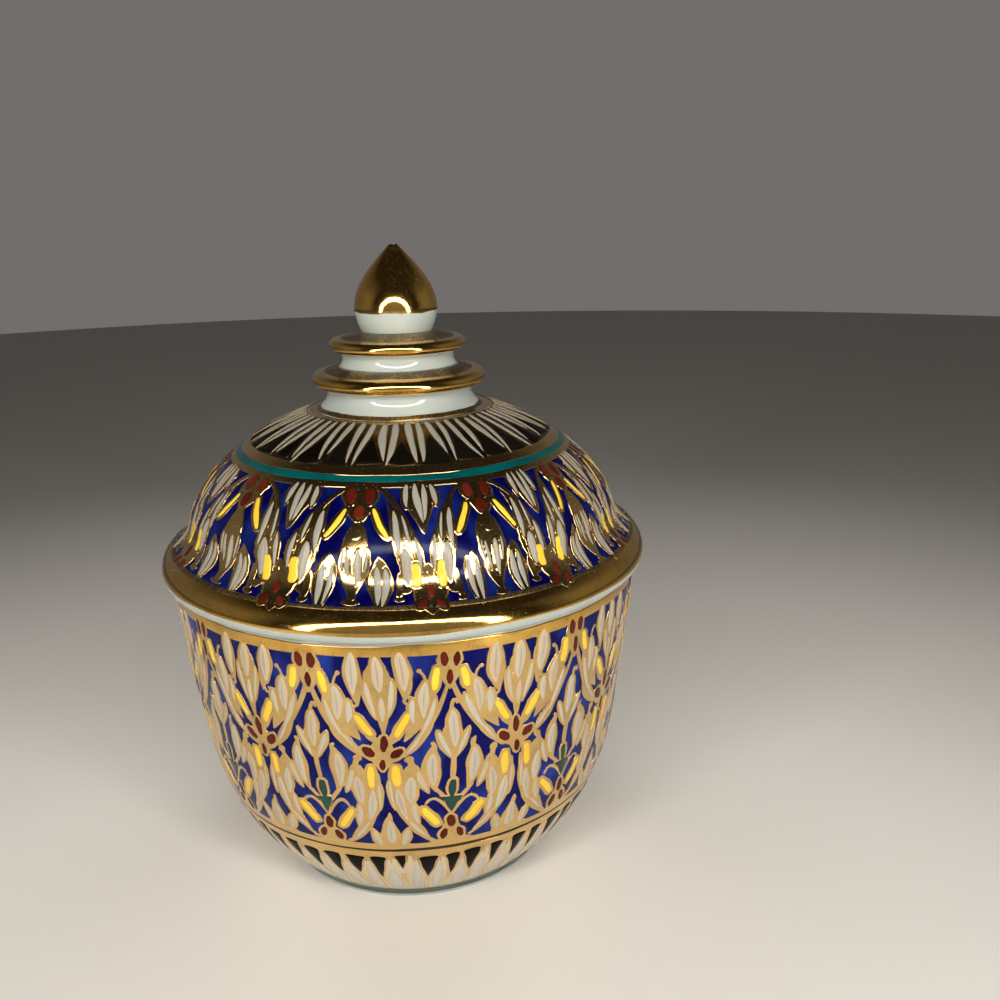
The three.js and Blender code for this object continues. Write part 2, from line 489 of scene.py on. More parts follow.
@dataclass(frozen=True)
class Laid:
    """One mark as it was laid: its middle line on the chart and all that its mesh needs."""

    control: np.ndarray
    width: float
    stroke: Stroke
    coat: Coat
    shift: float  # angle of its repeat, in radians
    tone: float  # 0 to 1, for the finish
    phase: float

    @property
    def steps(self) -> int:
        """How many places along it the mesh needs to follow the curved surface."""
        span = np.linalg.norm(np.diff(self.control, axis=0), axis=1).sum()
        return next(steps for longest, steps in MARK_STEPS if span < longest)


class BrushWork:
    """Brush marks laid on a turned surface and gathered by paint, one mesh for each paint. Lengths
    are in mm."""

    ACROSS = np.array([-1.0, -0.82, -0.3, 0.3, 0.82, 1.0])  # places across a mark
    UNDER = 0.045  # height of a mark's rim, just under the ground's surface
    BLUNT = 5  # a mark is full height where it is wider than a fifth of its width
    BENDS = 8.0  # a mark that is shorter bends by less than the whole slip
    STRAYS = 4.0  # a mark that is shorter is moved by less than the whole slip
    VEIN_REACH = 0.86  # length of a vein, as a share of its mark
    GOLD = Coat(0.075, 0.006)
    ENAMEL = Coat(0.11, 0.05)
    VEIN = Coat(0.155, 0.025)

    def __init__(self, profile: Profile, hand: Hand, first_angle: float, seed: int) -> None:
        """Sets the surface.

        Args:
            profile: The surface's profile.
            hand: How the hand strays.
            first_angle: Angle of the chart's x = 0, in degrees.
            seed: Seed of the small slips.
        """
        self.profile = profile
        self.hand = hand
        self.first_angle = math.radians(first_angle)
        self.random = np.random.default_rng(seed)
        self.beds: dict[Paint, list[Laid]] = {paint: [] for paint in Paint}

    def repeat(self, marks: list[Mark], count: int) -> None:
        """Lays a repeat of the pattern count times round the surface, each with its own slips.

        Args:
            marks: The marks of one repeat.
            count: How many repeats go round.
        """
        for turn in range(count):
            for mark in marks:
                self._lay(mark, turn * 2 * np.pi / count)

    def _lay(self, mark: Mark, shift: float) -> None:
        """Files a mark, its gold outline and its vein under their paints.

        Args:
            mark: The mark as designed.
            shift: Angle of its repeat, in radians.
        """
        hand, random = self.hand, self.random
        control = mark.control()
        span = np.linalg.norm(control[-1] - control[0])
        control = control + random.normal(0, hand.slip * min(1.0, span / self.BENDS), (4, 2))
        control = control + random.normal(0, hand.slip * min(1.0, span / self.STRAYS), 2)
        control = control[0] + (control - control[0]) * (1 + random.normal(0, hand.reach))
        width = mark.width * (1 + random.normal(0, hand.swell))
        tone, phase = random.random(), random.random() * 6

        def file(paint: Paint, line: np.ndarray, wide: float, stroke: Stroke, coat: Coat) -> None:
            """Files one layer of the mark."""
            self.beds[paint].append(Laid(line, wide, stroke, coat, shift, tone, phase))

        if mark.paint is Paint.GILT:
            file(Paint.GILT, control, width, mark.stroke, self.GOLD)
            return
        middle = control.mean(axis=0)
        if mark.outline:
            longer = middle + (control - middle) * (1 + 2 * mark.outline / span)
            file(Paint.GILT, longer, width + 2 * mark.outline, mark.stroke, self.GOLD)
        file(mark.paint, control, width, mark.stroke, self.ENAMEL)
        if mark.vein:
            line = middle + (control - middle) * self.VEIN_REACH
            file(Paint.VEIN, line, mark.vein, Stroke.LEAF, self.VEIN)

    def _surface(self, bed: list[Laid]) -> tuple[np.ndarray, np.ndarray, np.ndarray, np.ndarray]:
        """Meshes of many marks at once. Along a mark runs a cubic curve on the chart. Across it a
        point moves sideways by its share of the width, and rises as one minus that share
        squared, so that the mark is domed. The edges go under the ground, where they close.

        Args:
            bed: The marks of one paint that have the same number of steps.

        Returns:
            Points, quads, triangles, and for each point its place across and along its mark
            and the mark's tone.
        """
        control = np.stack([m.control for m in bed])
        t = (1 - np.cos(np.linspace(0, np.pi, bed[0].steps))) / 2
        weights = np.stack([(1 - t) ** 3, 3 * t * (1 - t) ** 2, 3 * t * t * (1 - t), t**3])
        slopes = np.gradient(weights, t, axis=1)
        middle = np.einsum("kt,nkc->ntc", weights, control)
        way = np.einsum("kt,nkc->ntc", slopes, control)
        stretch = self.profile.radius(middle[..., 1]) / CHART_RADIUS
        way = np.stack([way[..., 0] * stretch, way[..., 1]], axis=-1)
        way /= np.linalg.norm(way, axis=-1, keepdims=True)
        share = np.stack([m.stroke.width(t) for m in bed])
        phase = np.array([m.phase for m in bed])[:, None]
        half = share * np.array([m.width for m in bed])[:, None] / 2
        sides = np.stack([np.sin(9 * t + phase), np.sin(11 * t + 2 * phase + 1)], axis=-1)
        shake = self.hand.shake * np.where(self.ACROSS < 0, sides[..., :1], sides[..., 1:])
        across = self.ACROSS * (1 + shake)
        edge = np.array([m.coat.edge for m in bed])[:, None, None]
        crown = np.array([m.coat.crown for m in bed])[:, None, None]
        rise = edge - self.UNDER + crown * (1 - self.ACROSS**2)
        rise = self.UNDER + rise * np.minimum(1.0, share * self.BLUNT)[..., None]
        rise[..., 0] = rise[..., -1] = self.UNDER
        x = middle[..., :1] + (-way[..., 1] / stretch * half)[..., None] * across
        s = middle[..., 1:] + (way[..., 0] * half)[..., None] * across
        angle = x / CHART_RADIUS + np.array([m.shift for m in bed])[:, None, None]
        turn, s = self.hand.chart(angle, s)
        points = self.profile.place(turn + self.first_angle, s, rise)
        tone = np.array([m.tone for m in bed])[:, None, None]
        marks, steps, corners = rise.shape
        strokes = np.stack(np.broadcast_arrays(self.ACROSS, t[:, None], tone), axis=-1)
        return self._close(points, np.broadcast_to(strokes, (marks, steps, corners, 3)))

    @staticmethod
    def _close(points: np.ndarray, strokes: np.ndarray) -> tuple[np.ndarray, ...]:
        """Joins each mark's rings into a closed skin whose first and last rings are one point.

        Args:
            points: Places by mark, ring and corner.
            strokes: The values kept for each place.

        Returns:
            Points, quads, triangles and values.
        """
        marks, rings, corners = points.shape[:3]
        here = np.arange((rings - 2) * corners).reshape(rings - 2, corners)
        onward = np.roll(here, -1, axis=1)
        quads = np.stack([here[:-1], here[1:], onward[1:], onward[:-1]], axis=-1).reshape(-1, 4)
        first, last = (rings - 2) * corners, (rings - 2) * corners + 1
        start = np.stack([np.full(corners, first), here[0], onward[0]], axis=-1)
        end = np.stack([np.full(corners, last), onward[-1], here[-1]], axis=-1)
        tris = np.concatenate([start, end])
        gathered = []
        for values in (points, strokes):
            body = values[:, 1:-1].reshape(marks, -1, 3)
            gathered.append(np.concatenate([body, values[:, [0, -1]].mean(axis=2)], axis=1))
        offset = (np.arange(marks) * gathered[0].shape[1])[:, None, None]
        return (
            gathered[0].reshape(-1, 3),
            (quads[None] + offset).reshape(-1, 4),
            (tris[None] + offset).reshape(-1, 3),
            gathered[1].reshape(-1, 3),
        )

    def build(self, prefix: str) -> dict[Paint, bpy.types.Object]:
        """Makes the meshes.

        Args:
            prefix: Start of each piece's name.

        Returns:
            One object for each paint that was used.
        """
        made = {}
        for paint, bed in self.beds.items():
            classes = sorted({mark.steps for mark in bed})
            parts = [self._surface([m for m in bed if m.steps == steps]) for steps in classes]
            if parts:
                first = np.cumsum([0] + [len(part[0]) for part in parts])
                points, strokes = (np.concatenate([part[i] for part in parts]) for i in (0, 3))
                quads, tris = (
                    np.concatenate([part[i] + at for part, at in zip(parts, first)]) for i in (1, 2)
                )
                piece = new_mesh(f"{prefix}_{paint.value}", points, quads, tris)
                kept = piece.data.attributes.new("stroke", "FLOAT_VECTOR", "POINT")
                kept.data.foreach_set("vector", strokes.astype(np.float32).ravel())
                made[paint] = piece
        return made


class Value:
    """A socket's value in a shader tree, which takes part in Python arithmetic."""

    def __init__(self, tree: "ShaderTree", socket: bpy.types.NodeSocket) -> None:
        """Keeps the socket and its tree."""
        self.tree = tree
        self.socket = socket

    def _math(self, operation: str, first: "Value | float", second: "Value | float") -> "Value":
        """A Math node on two values."""
        return self.tree.node("ShaderNodeMath", {"operation": operation}, {0: first, 1: second})

    def __add__(self, other: "Value | float") -> "Value":
        """Sum."""
        return self._math("ADD", self, other)

    __radd__ = __add__

    def __mul__(self, other: "Value | float") -> "Value":
        """Product."""
        return self._math("MULTIPLY", self, other)

    def __sub__(self, other: "Value | float") -> "Value":
        """Difference."""
        return self._math("SUBTRACT", self, other)

    def __rsub__(self, other: "Value | float") -> "Value":
        """Difference from a number."""
        return self._math("SUBTRACT", other, self)

    def __gt__(self, other: "Value | float") -> "Value":
        """1 where it is greater, 0 elsewhere."""
        return self._math("GREATER_THAN", self, other)

    def __lt__(self, other: "Value | float") -> "Value":
        """1 where it is less, 0 elsewhere."""
        return self._math("LESS_THAN", self, other)

    def band(self, low: float, high: float) -> "Value":
        """0 below low, 1 above high, and an even ramp between them."""
        inputs = {"Value": self, "From Min": low, "From Max": high}
        return self.tree.node("ShaderNodeMapRange", {"clamp": True}, inputs)


class ShaderTree:
    """The node tree of a material, a lamp or the world, with one method for each kind of step."""

    def __init__(self, owner: bpy.types.ID) -> None:
        """Opens the tree.

        Args:
            owner: The material, lamp or world.
        """
        owner.use_nodes = True
        self.owner = owner
        self.nodes = owner.node_tree.nodes
        self.links = owner.node_tree.links

    def node(
        self,
        kind: str,
        settings: dict[str, object] | None = None,
        inputs: dict[str | int, object] | None = None,
        output: str | int = 0,
    ) -> Value:
        """Adds a node.

        Args:
            kind: Type of the node.
            settings: Its settings, set before its sockets.
            inputs: Numbers, colours or values by socket name or number.
            output: Which output to return.

        Returns:
            The value at that output.
        """
        made = self.nodes.new(kind)
        for key, value in (settings or {}).items():
            setattr(made, key, value)
        for key, value in (inputs or {}).items():
            self.feed(made.inputs[key], value)
        return Value(self, made.outputs[output])

    def feed(self, socket: bpy.types.NodeSocket, value: object) -> None:
        """Links a value to a socket, or sets the socket to a number, a vector or a colour.

        Args:
            socket: The socket.
            value: The value, number, vector or colour. A colour is made opaque.
        """
        if isinstance(value, Value):
            self.links.new(value.socket, socket)
            return
        if isinstance(value, tuple) and len(socket.default_value) > len(value):
            value = (*value, 1.0)
        socket.default_value = value

    def place(self) -> Value:
        """The point's place on the object."""
        return self.node("ShaderNodeTexCoord", output="Object")

    def noise(self, size: float, detail: float = 3.0, rough: float = 0.5, squash: float = 1.0) -> Value:
        """Noise.

        Args:
            size: How wide its blotches are, in mm.
            detail: How many finer layers it has.
            rough: How strong they are.
            squash: How many times as tall as wide the blotches are.

        Returns:
            The noise, from 0 to 1.
        """
        scale = 1 / (size * MM)
        spread = self.node(
            "ShaderNodeMapping",
            inputs={"Vector": self.place(), "Scale": (scale, scale, scale / squash)},
        )
        inputs = {"Vector": spread, "Scale": 1.0, "Detail": detail, "Roughness": rough}
        return self.node("ShaderNodeTexNoise", inputs=inputs)

    def stroke(self) -> tuple[Value, Value, Value]:
        """What each point of a brush mark keeps.

        Returns:
            The place across the mark, the place along it and the mark's tone.
        """
        kept = self.node("ShaderNodeAttribute", {"attribute_name": "stroke"}, output="Vector")
        split = [self.node("ShaderNodeSeparateXYZ", inputs={0: kept}, output=i) for i in range(3)]
        return split[0], split[1], split[2]

    def mix(self, share: "Value | float", first: object, second: object) -> Value:
        """A colour between two others."""
        inputs = {0: share, 6: first, 7: second}
        return self.node("ShaderNodeMix", {"data_type": "RGBA"}, inputs, output=2)

    def bump(self, height: Value, distance: float) -> Value:
        """A normal bent by a height, of which 1 stands for a distance in mm."""
        return self.node("ShaderNodeBump", inputs={"Height": height, "Distance": distance * MM})

    def surface(self, inputs: dict[str, object]) -> bpy.types.Material:
        """Feeds the Principled shader.

        Args:
            inputs: Numbers, colours or values by socket name.

        Returns:
            The material.
        """
        for key, value in inputs.items():
            self.feed(self.nodes["Principled BSDF"].inputs[key], value)
        return self.owner


def finish(name: str) -> ShaderTree:
    """The node tree of a new material."""
    return ShaderTree(bpy.data.materials.new(name))


@dataclass(frozen=True)
class Glaze:
    """Clear glaze over white porcelain: faintly blue where it pools, with a soft ripple. Sizes
    are in mm."""

    name: str = "white_glaze"
    colour: Colour = (0.42, 0.45, 0.405)
    pooled: Colour = (0.37, 0.405, 0.37)
    speck: Colour = (0.33, 0.30, 0.24)
    roughness: float = 0.03
    cloud_size: float = 14.0
    speck_size: float = 0.5
    ripple_size: float = 3.0
    ripple: float = 0.006  # height of the ripple
    ior: float = 1.52

    def material(self) -> bpy.types.Material:
        """Builds the shader.

        Returns:
            The material.
        """
        tree = finish(self.name)
        cloud = tree.noise(self.cloud_size, 2.0)
        colour = tree.mix(cloud.band(0.4, 0.75), self.colour, self.pooled)
        speck = tree.noise(self.speck_size, 1.0).band(0.76, 0.80)
        colour = tree.mix(speck * 0.5, colour, self.speck)
        return tree.surface(
            {
                "Base Color": colour,
                "Roughness": self.roughness + cloud * 0.03,
                "Normal": tree.bump(tree.noise(self.ripple_size, 2.0), self.ripple),
                "IOR": self.ior,
            }
        )


@dataclass(frozen=True)
class Biscuit:
    """Bare fired porcelain, matt and a little warm, rubbed grey where it stands. Sizes are in
    mm."""

    name: str = "bare_biscuit"
    colour: Colour = (0.60, 0.56, 0.49)
    rubbed: Colour = (0.40, 0.37, 0.32)
    rub_size: float = 3.0
    roughness: float = 0.7
    grain_size: float = 0.25
    grain: float = 0.03  # height of the grain

    def material(self) -> bpy.types.Material:
        """Builds the shader.

        Returns:
            The material.
        """
        tree = finish(self.name)
        grain = tree.noise(self.grain_size, 4.0, 0.7)
        rubbed = tree.noise(self.rub_size).band(0.45, 0.7)
        return tree.surface(
            {
                "Base Color": tree.mix(rubbed * 0.6, self.colour, self.rubbed),
                "Roughness": self.roughness + grain * 0.2,
                "Normal": tree.bump(grain, self.grain),
            }
        )


@dataclass(frozen=True)
class Enamel:
    """A glassy overglaze enamel, deeper in colour where it lies thick. Sizes are in mm."""

    name: str
    thick: Colour
    thin: Colour
    cloud: float = 6.0  # size of the thick and thin places
    low: float = 0.35  # reading of the cloud at which the enamel starts to thin
    high: float = 0.75  # and at which it is thinnest
    roughness: float = 0.09
    ripple: float = 0.012  # height of the brush ripple
    ior: float = 1.36
    ripple_size: float = 1.2
    streak_size: float = 0.35

    def material(self) -> bpy.types.Material:
        """Builds the shader.

        Returns:
            The material.
        """
        tree = finish(self.name)
        cloud = tree.noise(self.cloud, 3.0, 0.6, squash=1.6)
        streak = tree.noise(self.streak_size, 2.0, 0.6, squash=4.0)
        colour = tree.mix(cloud.band(self.low, self.high), self.thick, self.thin)
        colour = tree.mix(streak.band(0.5, 0.8) * 0.25, colour, self.thick)
        return tree.surface(
            {
                "Base Color": colour,
                "Roughness": self.roughness + streak * 0.08,
                "Normal": tree.bump(tree.noise(self.ripple_size, 2.0), self.ripple),
                "IOR": self.ior,
            }
        )


@dataclass(frozen=True)
class Petal:
    """Opaque enamel in small brush marks: each mark has its own tone, streaks along it, and a
    warmer margin that thins to a brown edge where the gold laps over it. The brown edge is
    also painted shade, along the step up to the raised gold. Sizes are in mm."""

    name: str
    first: Colour
    second: Colour
    margin: Colour
    # colour of the brown edge, and below it the edge's strength: partly the gold's lap, partly painted
    # shade at the step up to the gold
    edge: Colour = (0.33, 0.17, 0.05)
    lap_and_shade: float = 0.5  # strength of the brown edge
    roughness: float = 0.13
    ior: float = 1.4
    streak_size: float = 0.40
    fleck_size: float = 0.8
    ripple: float = 0.02  # height of the streaks

    def material(self) -> bpy.types.Material:
        """Builds the shader.

        Returns:
            The material.
        """
        tree = finish(self.name)
        across, along, tone = tree.stroke()
        streak = tree.noise(self.streak_size, 3.0, 0.6, squash=5.0)
        fleck = tree.noise(self.fleck_size, 3.0, 0.65)
        colour = tree.mix((tone * 0.7 + streak * 0.6).band(0.25, 1.0), self.first, self.second)
        out = across * across
        inward = (along * (1 - along) * 4).band(0.0, 0.45)
        margin = (out + streak * 0.7 + (1 - inward) * 0.8).band(0.65, 1.2)
        colour = tree.mix(margin * 0.85, colour, self.margin)
        # brown edge along the mark's sides: the gold lapping over it, and painted shade at the step up
        # to the raised gold
        rim = (out + fleck * 0.5).band(0.85, 1.25)
        colour = tree.mix(rim * self.lap_and_shade, colour, self.edge)
        return tree.surface(
            {
                "Base Color": colour,
                "Roughness": self.roughness + streak * 0.12,
                "Normal": tree.bump(streak, self.ripple),
                "IOR": self.ior,
            }
        )


@dataclass(frozen=True)
class Gold:
    """Fired bright gold: a mirror-like film, grainy, thinner and browner in patches. Sizes are in
    mm."""

    name: str
    colour: Colour
    thin: Colour
    worn: float = 0.0  # share of the film that is rubbed away
    roughness: float = 0.05
    grain: float = 0.003  # height of the grain
    grain_size: float = 0.35
    patch_size: float = 4.0
    speck_size: float = 0.22
    speck: Colour = (0.28, 0.12, 0.04)
    bare: Colour = (0.12, 0.08, 0.035)

    def material(self) -> bpy.types.Material:
        """Builds the shader.

        Returns:
            The material.
        """
        tree = finish(self.name)
        patch = tree.noise(self.patch_size, 4.0, 0.6)
        fine = tree.noise(self.grain_size, 3.0, 0.6)
        colour = tree.mix(patch.band(0.45, 0.75) * 0.8, self.colour, self.thin)
        speck = tree.noise(self.speck_size, 2.0, 0.6).band(0.66, 0.72)
        colour = tree.mix(speck * 0.55, colour, self.speck)
        metal = 1 - speck * 0.4
        if self.worn:
            # the more is worn, the lower the reading from which the film is gone
            low = 0.57 - 0.13 * self.worn
            bare = (patch * 0.5 + fine * 0.5).band(low, low + 0.07)
            colour = tree.mix(bare * self.worn, colour, self.bare)
            metal = metal - bare * 0.15 * self.worn
        return tree.surface(
            {
                "Base Color": colour,
                "Metallic": metal,
                "Roughness": self.roughness + patch * 0.08 + speck * 0.15,
                "Normal": tree.bump(fine, self.grain),
            }
        )


class Finishes:
    """Every finish of the cup, each made once."""

    def __init__(self) -> None:
        """Builds the materials."""
        self.glaze = Glaze().material()
        self.biscuit = Biscuit().material()
        cobalt = Enamel(
            "cobalt_enamel", (0.002, 0.003, 0.075), (0.018, 0.045, 0.28), 7.0, 0.46, 0.74, ior=1.18
        )
        self.cobalt = cobalt.material()
        # a darker copy of the cobalt for the lid: painted shade
        self.shaded_cobalt = replace(
            cobalt, name="shaded_cobalt_enamel", thick=(0.001, 0.001, 0.045), thin=(0.008, 0.020, 0.14)
        ).material()
        self.cream = Petal(
            "cream_ground", (0.62, 0.56, 0.45), (0.58, 0.52, 0.42), (0.6, 0.47, 0.28), lap_and_shade=0.0
        ).material()
        self.pale_core = Petal(
            "pale_core", (0.52, 0.54, 0.49), (0.56, 0.48, 0.41), (0.62, 0.52, 0.38), lap_and_shade=0.0
        ).material()
        self.teal = Enamel("teal_enamel", (0.0, 0.05, 0.055), (0.0, 0.11, 0.10), 8.0).material()
        self.green_line = Enamel("green_line", (0.045, 0.075, 0.055), (0.085, 0.12, 0.09)).material()
        self.dark_line = Enamel(
            "dark_line", (0.02, 0.012, 0.004), (0.05, 0.03, 0.012), ior=1.2
        ).material()
        self.line_gold = Gold(
            "line_gold", (0.74, 0.50, 0.20), (0.56, 0.36, 0.14), roughness=0.10
        ).material()
        # gold darkened to brown: painted shade, standing in for the dark room it reflects on the lid's
        # top; it is also worn in patches
        self.shade_painted_gold = Gold(
            "shade_painted_gold", (0.11, 0.075, 0.03), (0.07, 0.045, 0.02), 0.3, 0.26
        ).material()
        self.band_gold = Gold("band_gold", (0.78, 0.47, 0.11), (0.62, 0.34, 0.08), 0.25).material()
        self.worn_gold = Gold("worn_gold", (0.45, 0.29, 0.10), (0.32, 0.20, 0.07), 1.0, 0.3).material()
        enamels = {
            Paint.VEIN: Petal(
                "vein_enamel", (0.44, 0.36, 0.26), (0.40, 0.28, 0.18), (0.5, 0.34, 0.15), lap_and_shade=0.0
            ),
            Paint.WHITE: Petal(
                "white_enamel", (0.47, 0.44, 0.36), (0.47, 0.38, 0.26), (0.60, 0.40, 0.15)
            ),
            Paint.YELLOW: Petal(
                "yellow_enamel",
                (0.86, 0.62, 0.05),
                (0.82, 0.50, 0.04),
                (0.74, 0.42, 0.03),
                (0.4, 0.2, 0.02),
            ),
            Paint.MAROON: Petal(
                "maroon_enamel",
                (0.06, 0.006, 0.002),
                (0.11, 0.014, 0.005),
                (0.04, 0.005, 0.002),
                (0.03, 0.006, 0.003),
                ior=1.2,
            ),
            Paint.GREEN: Petal(
                "green_enamel",
                (0.002, 0.035, 0.024),
                (0.008, 0.06, 0.04),
                (0.002, 0.025, 0.018),
                (0.0, 0.012, 0.01),
            ),
            Paint.BLACK: Petal(
                "black_enamel",
                (0.003, 0.002, 0.001),
                (0.007, 0.006, 0.004),
                (0.005, 0.004, 0.002),
                (0.02, 0.01, 0.003),
                ior=1.08,
            ),
        }
        self.paints = {paint: enamel.material() for paint, enamel in enamels.items()}
        self.paints[Paint.GILT] = self.line_gold
        # a darker copy of the white enamel for the lid: painted shade
        shaded_lid_white = Petal(
            "shaded_lid_white_enamel", (0.30, 0.30, 0.265), (0.29, 0.275, 0.23), (0.33, 0.24, 0.12)
        )
        self.lid_paints = {**self.paints, Paint.WHITE: shaded_lid_white.material()}


@dataclass
class Turned:
    """A turned part of the assembly, whose pieces share a moving body."""

    BODY: ClassVar[str]
    SLOT: ClassVar[str]

    finishes: Finishes

    def dress(self, piece: bpy.types.Object, material: bpy.types.Material) -> None:
        """Gives a piece its finish and its place in the assembly.

        Args:
            piece: The object.
            material: Its finish.
        """
        piece.data.materials.append(material)
        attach(piece, self.BODY)
        log.info("%s rides on %s with %d faces", piece.name, self.BODY, len(piece.data.polygons))

    def coat(self, profile: Profile, rings: list[Band]) -> None:
        """Coats a surface with rings.

        Args:
            profile: The surface's profile.
            rings: Name, start, end, thickness and finish of each.
        """
        for name, low, high, rise, material in rings:
            self.dress(ring_band(name, profile, low, high, rise), material)

    def paint(self, work: BrushWork, name: str, paints: dict[Paint, bpy.types.Material]) -> None:
        """Makes the pieces of a brush work and gives each its paint.

        Args:
            work: The brush work, with its marks laid.
            name: Start of the pieces' names.
            paints: The material of each paint.
        """
        for paint, piece in work.build(name).items():
            self.dress(piece, paints[paint])


@dataclass
class Cup(Turned):
    """The cup: a turned bowl on a foot ring, with its painted bands and lattice. Lengths are in
    mm, angles in degrees."""

    BODY = "cup"
    SLOT = "cup_enamelled_porcelain"

    # three dots under the mouth band, with a bar to either side
    TOP_ROSETTE = [
        gold(3.7, (0, 54.8), (0, 47.6), stroke=Stroke.PETAL),
        dot(1.1, (0, 51.2), (0, 48.5)),
        *both(
            dot(1.25, (0.9, 54.4), (0.75, 51.8)),
            bar(1.25, (1.75, 51.7), (2.35, 47.9)),
        ),
    ]
    # the swag from a top rosette down to the middle rosette beside it
    UPPER_GARLAND = both(
        gold(0.9, (0.1, 49.8), (1.7, 43.8), (4.0, 39.8), (8.0, 36.2)),
        bed(1.7, (2.6, 43.8), (4.2, 39.6), (7.0, 36.7)),
        bed(3.5, (2.3, 50.6), (3.4, 46.8), (4.4, 43.2), (6.9, 39.6)),
        leaf(1.8, (3.6, 49.5), (4.3, 46.6), (3.95, 43.2), vein=0.24),
        gold(0.5, (3.6, 49.2), (3.7, 50.9), (4.3, 51.3)),
        dab(0.8, (4.0, 51.2), (4.7, 51.6)),
        leaf(1.1, (5.5, 46.8), (5.8, 44.8), (5.4, 42.5)),
        dab(0.85, (5.3, 46.6), (6.3, 47.0)),
        leaf(0.95, (2.2, 46.8), (2.9, 43.4), (4.6, 40.2)),
        leaf(0.6, (4.4, 41.0), (5.2, 39.2), (6.7, 37.6)),
        bar(1.25, (6.3, 44.5), (8.4, 40.7)),
        gold(1.7, (7.5, 41.8), (9.4, 39.0), stroke=Stroke.PETAL),
    )
    # four dots in a cross where the swags meet, with two bars hanging from it
    MIDDLE_ROSETTE = [
        bed(3.6, (0, 41.3), (0, 33.6)),
        bed(2.8, (-3.5, 38.0), (0, 35.4), (3.5, 38.0)),
        dot(1.25, (0, 41.0), (0, 37.8)),
        dot(1.05, (0, 36.3), (0, 34.1)),
        *both(
            dot(1.6, (2.75, 38.5), (1.15, 36.7)),
            bar(1.35, (1.75, 35.1), (1.9, 30.9)),
        ),
    ]
    # the flower that stands on a middle rosette and reaches the mouth band
    TULIP = [
        gold(4.3, (0, 40.6), (0, 53.4), stroke=Stroke.TULIP),
        gold(3.9, (0, 49.0), (0, 40.0), stroke=Stroke.SPIKE),
        leaf(2.0, (0, 53.9), (0, 47.7), vein=0.34),
        leaf(1.0, (0, 47.4), (0, 43.2)),
        *both(
            leaf(0.85, (1.85, 49.9), (1.75, 47.4), (0.8, 44.0)),
            bed(2.7, (3.4, 55.0), (3.65, 50.6), (3.1, 46.1)),
            leaf(2.0, (3.35, 54.6), (3.65, 51.6), (3.4, 47.8), vein=0.36),
            gold(0.55, (3.05, 46.8), (3.2, 45.7), (3.8, 46.1)),
        ),
    ]
    # the tall flower on its stem in a lower diamond, with a bud to either side
    PALMETTE = [
        gold(0.95, (0, 31.8), (0, 38.0)),
        gold(3.1, (0, 34.4), (0, 42.6), stroke=Stroke.TULIP),
        leaf(1.75, (0, 44.4), (-0.1, 41.0), (0, 37.6), vein=0.24),
        gold(0.75, (0, 43.2), (-0.1, 45.9), (0.6, 46.6), (0.95, 45.0)),
        Mark(Paint.GREEN, Stroke.DROP, ((0, 31.8), (0, 28.2)), 1.25),
        Mark(Paint.GREEN, Stroke.SPIKE, ((0, 28.7), (0, 25.4)), 3.0, outline=0.3),
        *both(
            leaf(0.8, (2.3, 40.8), (1.6, 38.8), (0.5, 36.0)),
            gold(0.6, (0.1, 25.2), (1.5, 28.4), (3.0, 29.4), (4.0, 27.2)),
            gold(0.75, (0.9, 28.2), (1.8, 29.2), (3.0, 30.8)),
            bed(2.8, (2.9, 38.4), (3.8, 34.4), (2.4, 29.4)),
            leaf(1.85, (3.0, 37.2), (3.55, 34.1), (2.75, 30.8), vein=0.26),
            gold(0.85, (2.9, 36.8), (2.4, 38.9), (3.3, 38.8)),
            leaf(1.0, (5.1, 34.3), (5.0, 32.4), (3.7, 30.0)),
            gold(0.6, (4.9, 33.6), (5.2, 35.8), (6.2, 35.0)),
        ),
    ]
    # the swag from a middle rosette down to the bottom rosette beside it
    LOWER_GARLAND = both(
        gold(0.95, (9.0, 33.6), (9.3, 28.4), (7.5, 22.6), (2.6, 19.4)),
        bed(3.5, (6.3, 35.2), (7.0, 31.0), (8.2, 27.0), (5.2, 21.4)),
        bed(1.9, (7.2, 26.2), (6.0, 23.0), (3.3, 20.0)),
        leaf(1.8, (5.9, 33.2), (6.3, 30.3), (6.2, 27.6), vein=0.26),
        gold(0.95, (6.0, 33.2), (5.7, 35.0), (6.2, 36.6)),
        dab(1.35, (6.0, 35.8), (6.4, 37.1)),
        leaf(1.6, (8.05, 30.6), (8.1, 27.6), (6.9, 24.2), vein=0.24),
        leaf(1.05, (5.7, 27.6), (6.0, 25.6), (5.1, 23.4)),
        leaf(0.5, (9.05, 32.2), (9.2, 29.6), (8.8, 27.0)),
        leaf(0.7, (6.7, 24.4), (5.4, 22.4), (3.8, 20.8)),
        bar(1.35, (4.6, 26.8), (1.95, 23.0)),
    )
    # three dots on the lower line
    BOTTOM_ROSETTE = [
        gold(3.9, (0, 25.5), (0, 18.8), stroke=Stroke.TULIP),
        bed(1.2, (-3.7, 19.4), (3.7, 19.4)),
        dot(1.3, (0, 24.9), (0, 22.1)),
        *both(dot(1.3, (1.0, 21.9), (1.6, 19.6))),
    ]
    # three leaves that stand on the lower line between the bottom rosettes
    SMALL_PALMETTE = [
        gold(3.4, (0, 18.9), (0, 25.4), stroke=Stroke.PETAL),
        leaf(2.0, (0, 19.5), (0, 24.8), stroke=Stroke.PETAL, vein=0.26),
        dab(0.9, (0, 23.8), (0.2, 26.3)),
        bed(1.3, (-3.4, 19.4), (3.4, 19.4)),
        *both(leaf(1.2, (1.9, 19.2), (2.5, 20.9), (3.0, 22.9))),
    ]

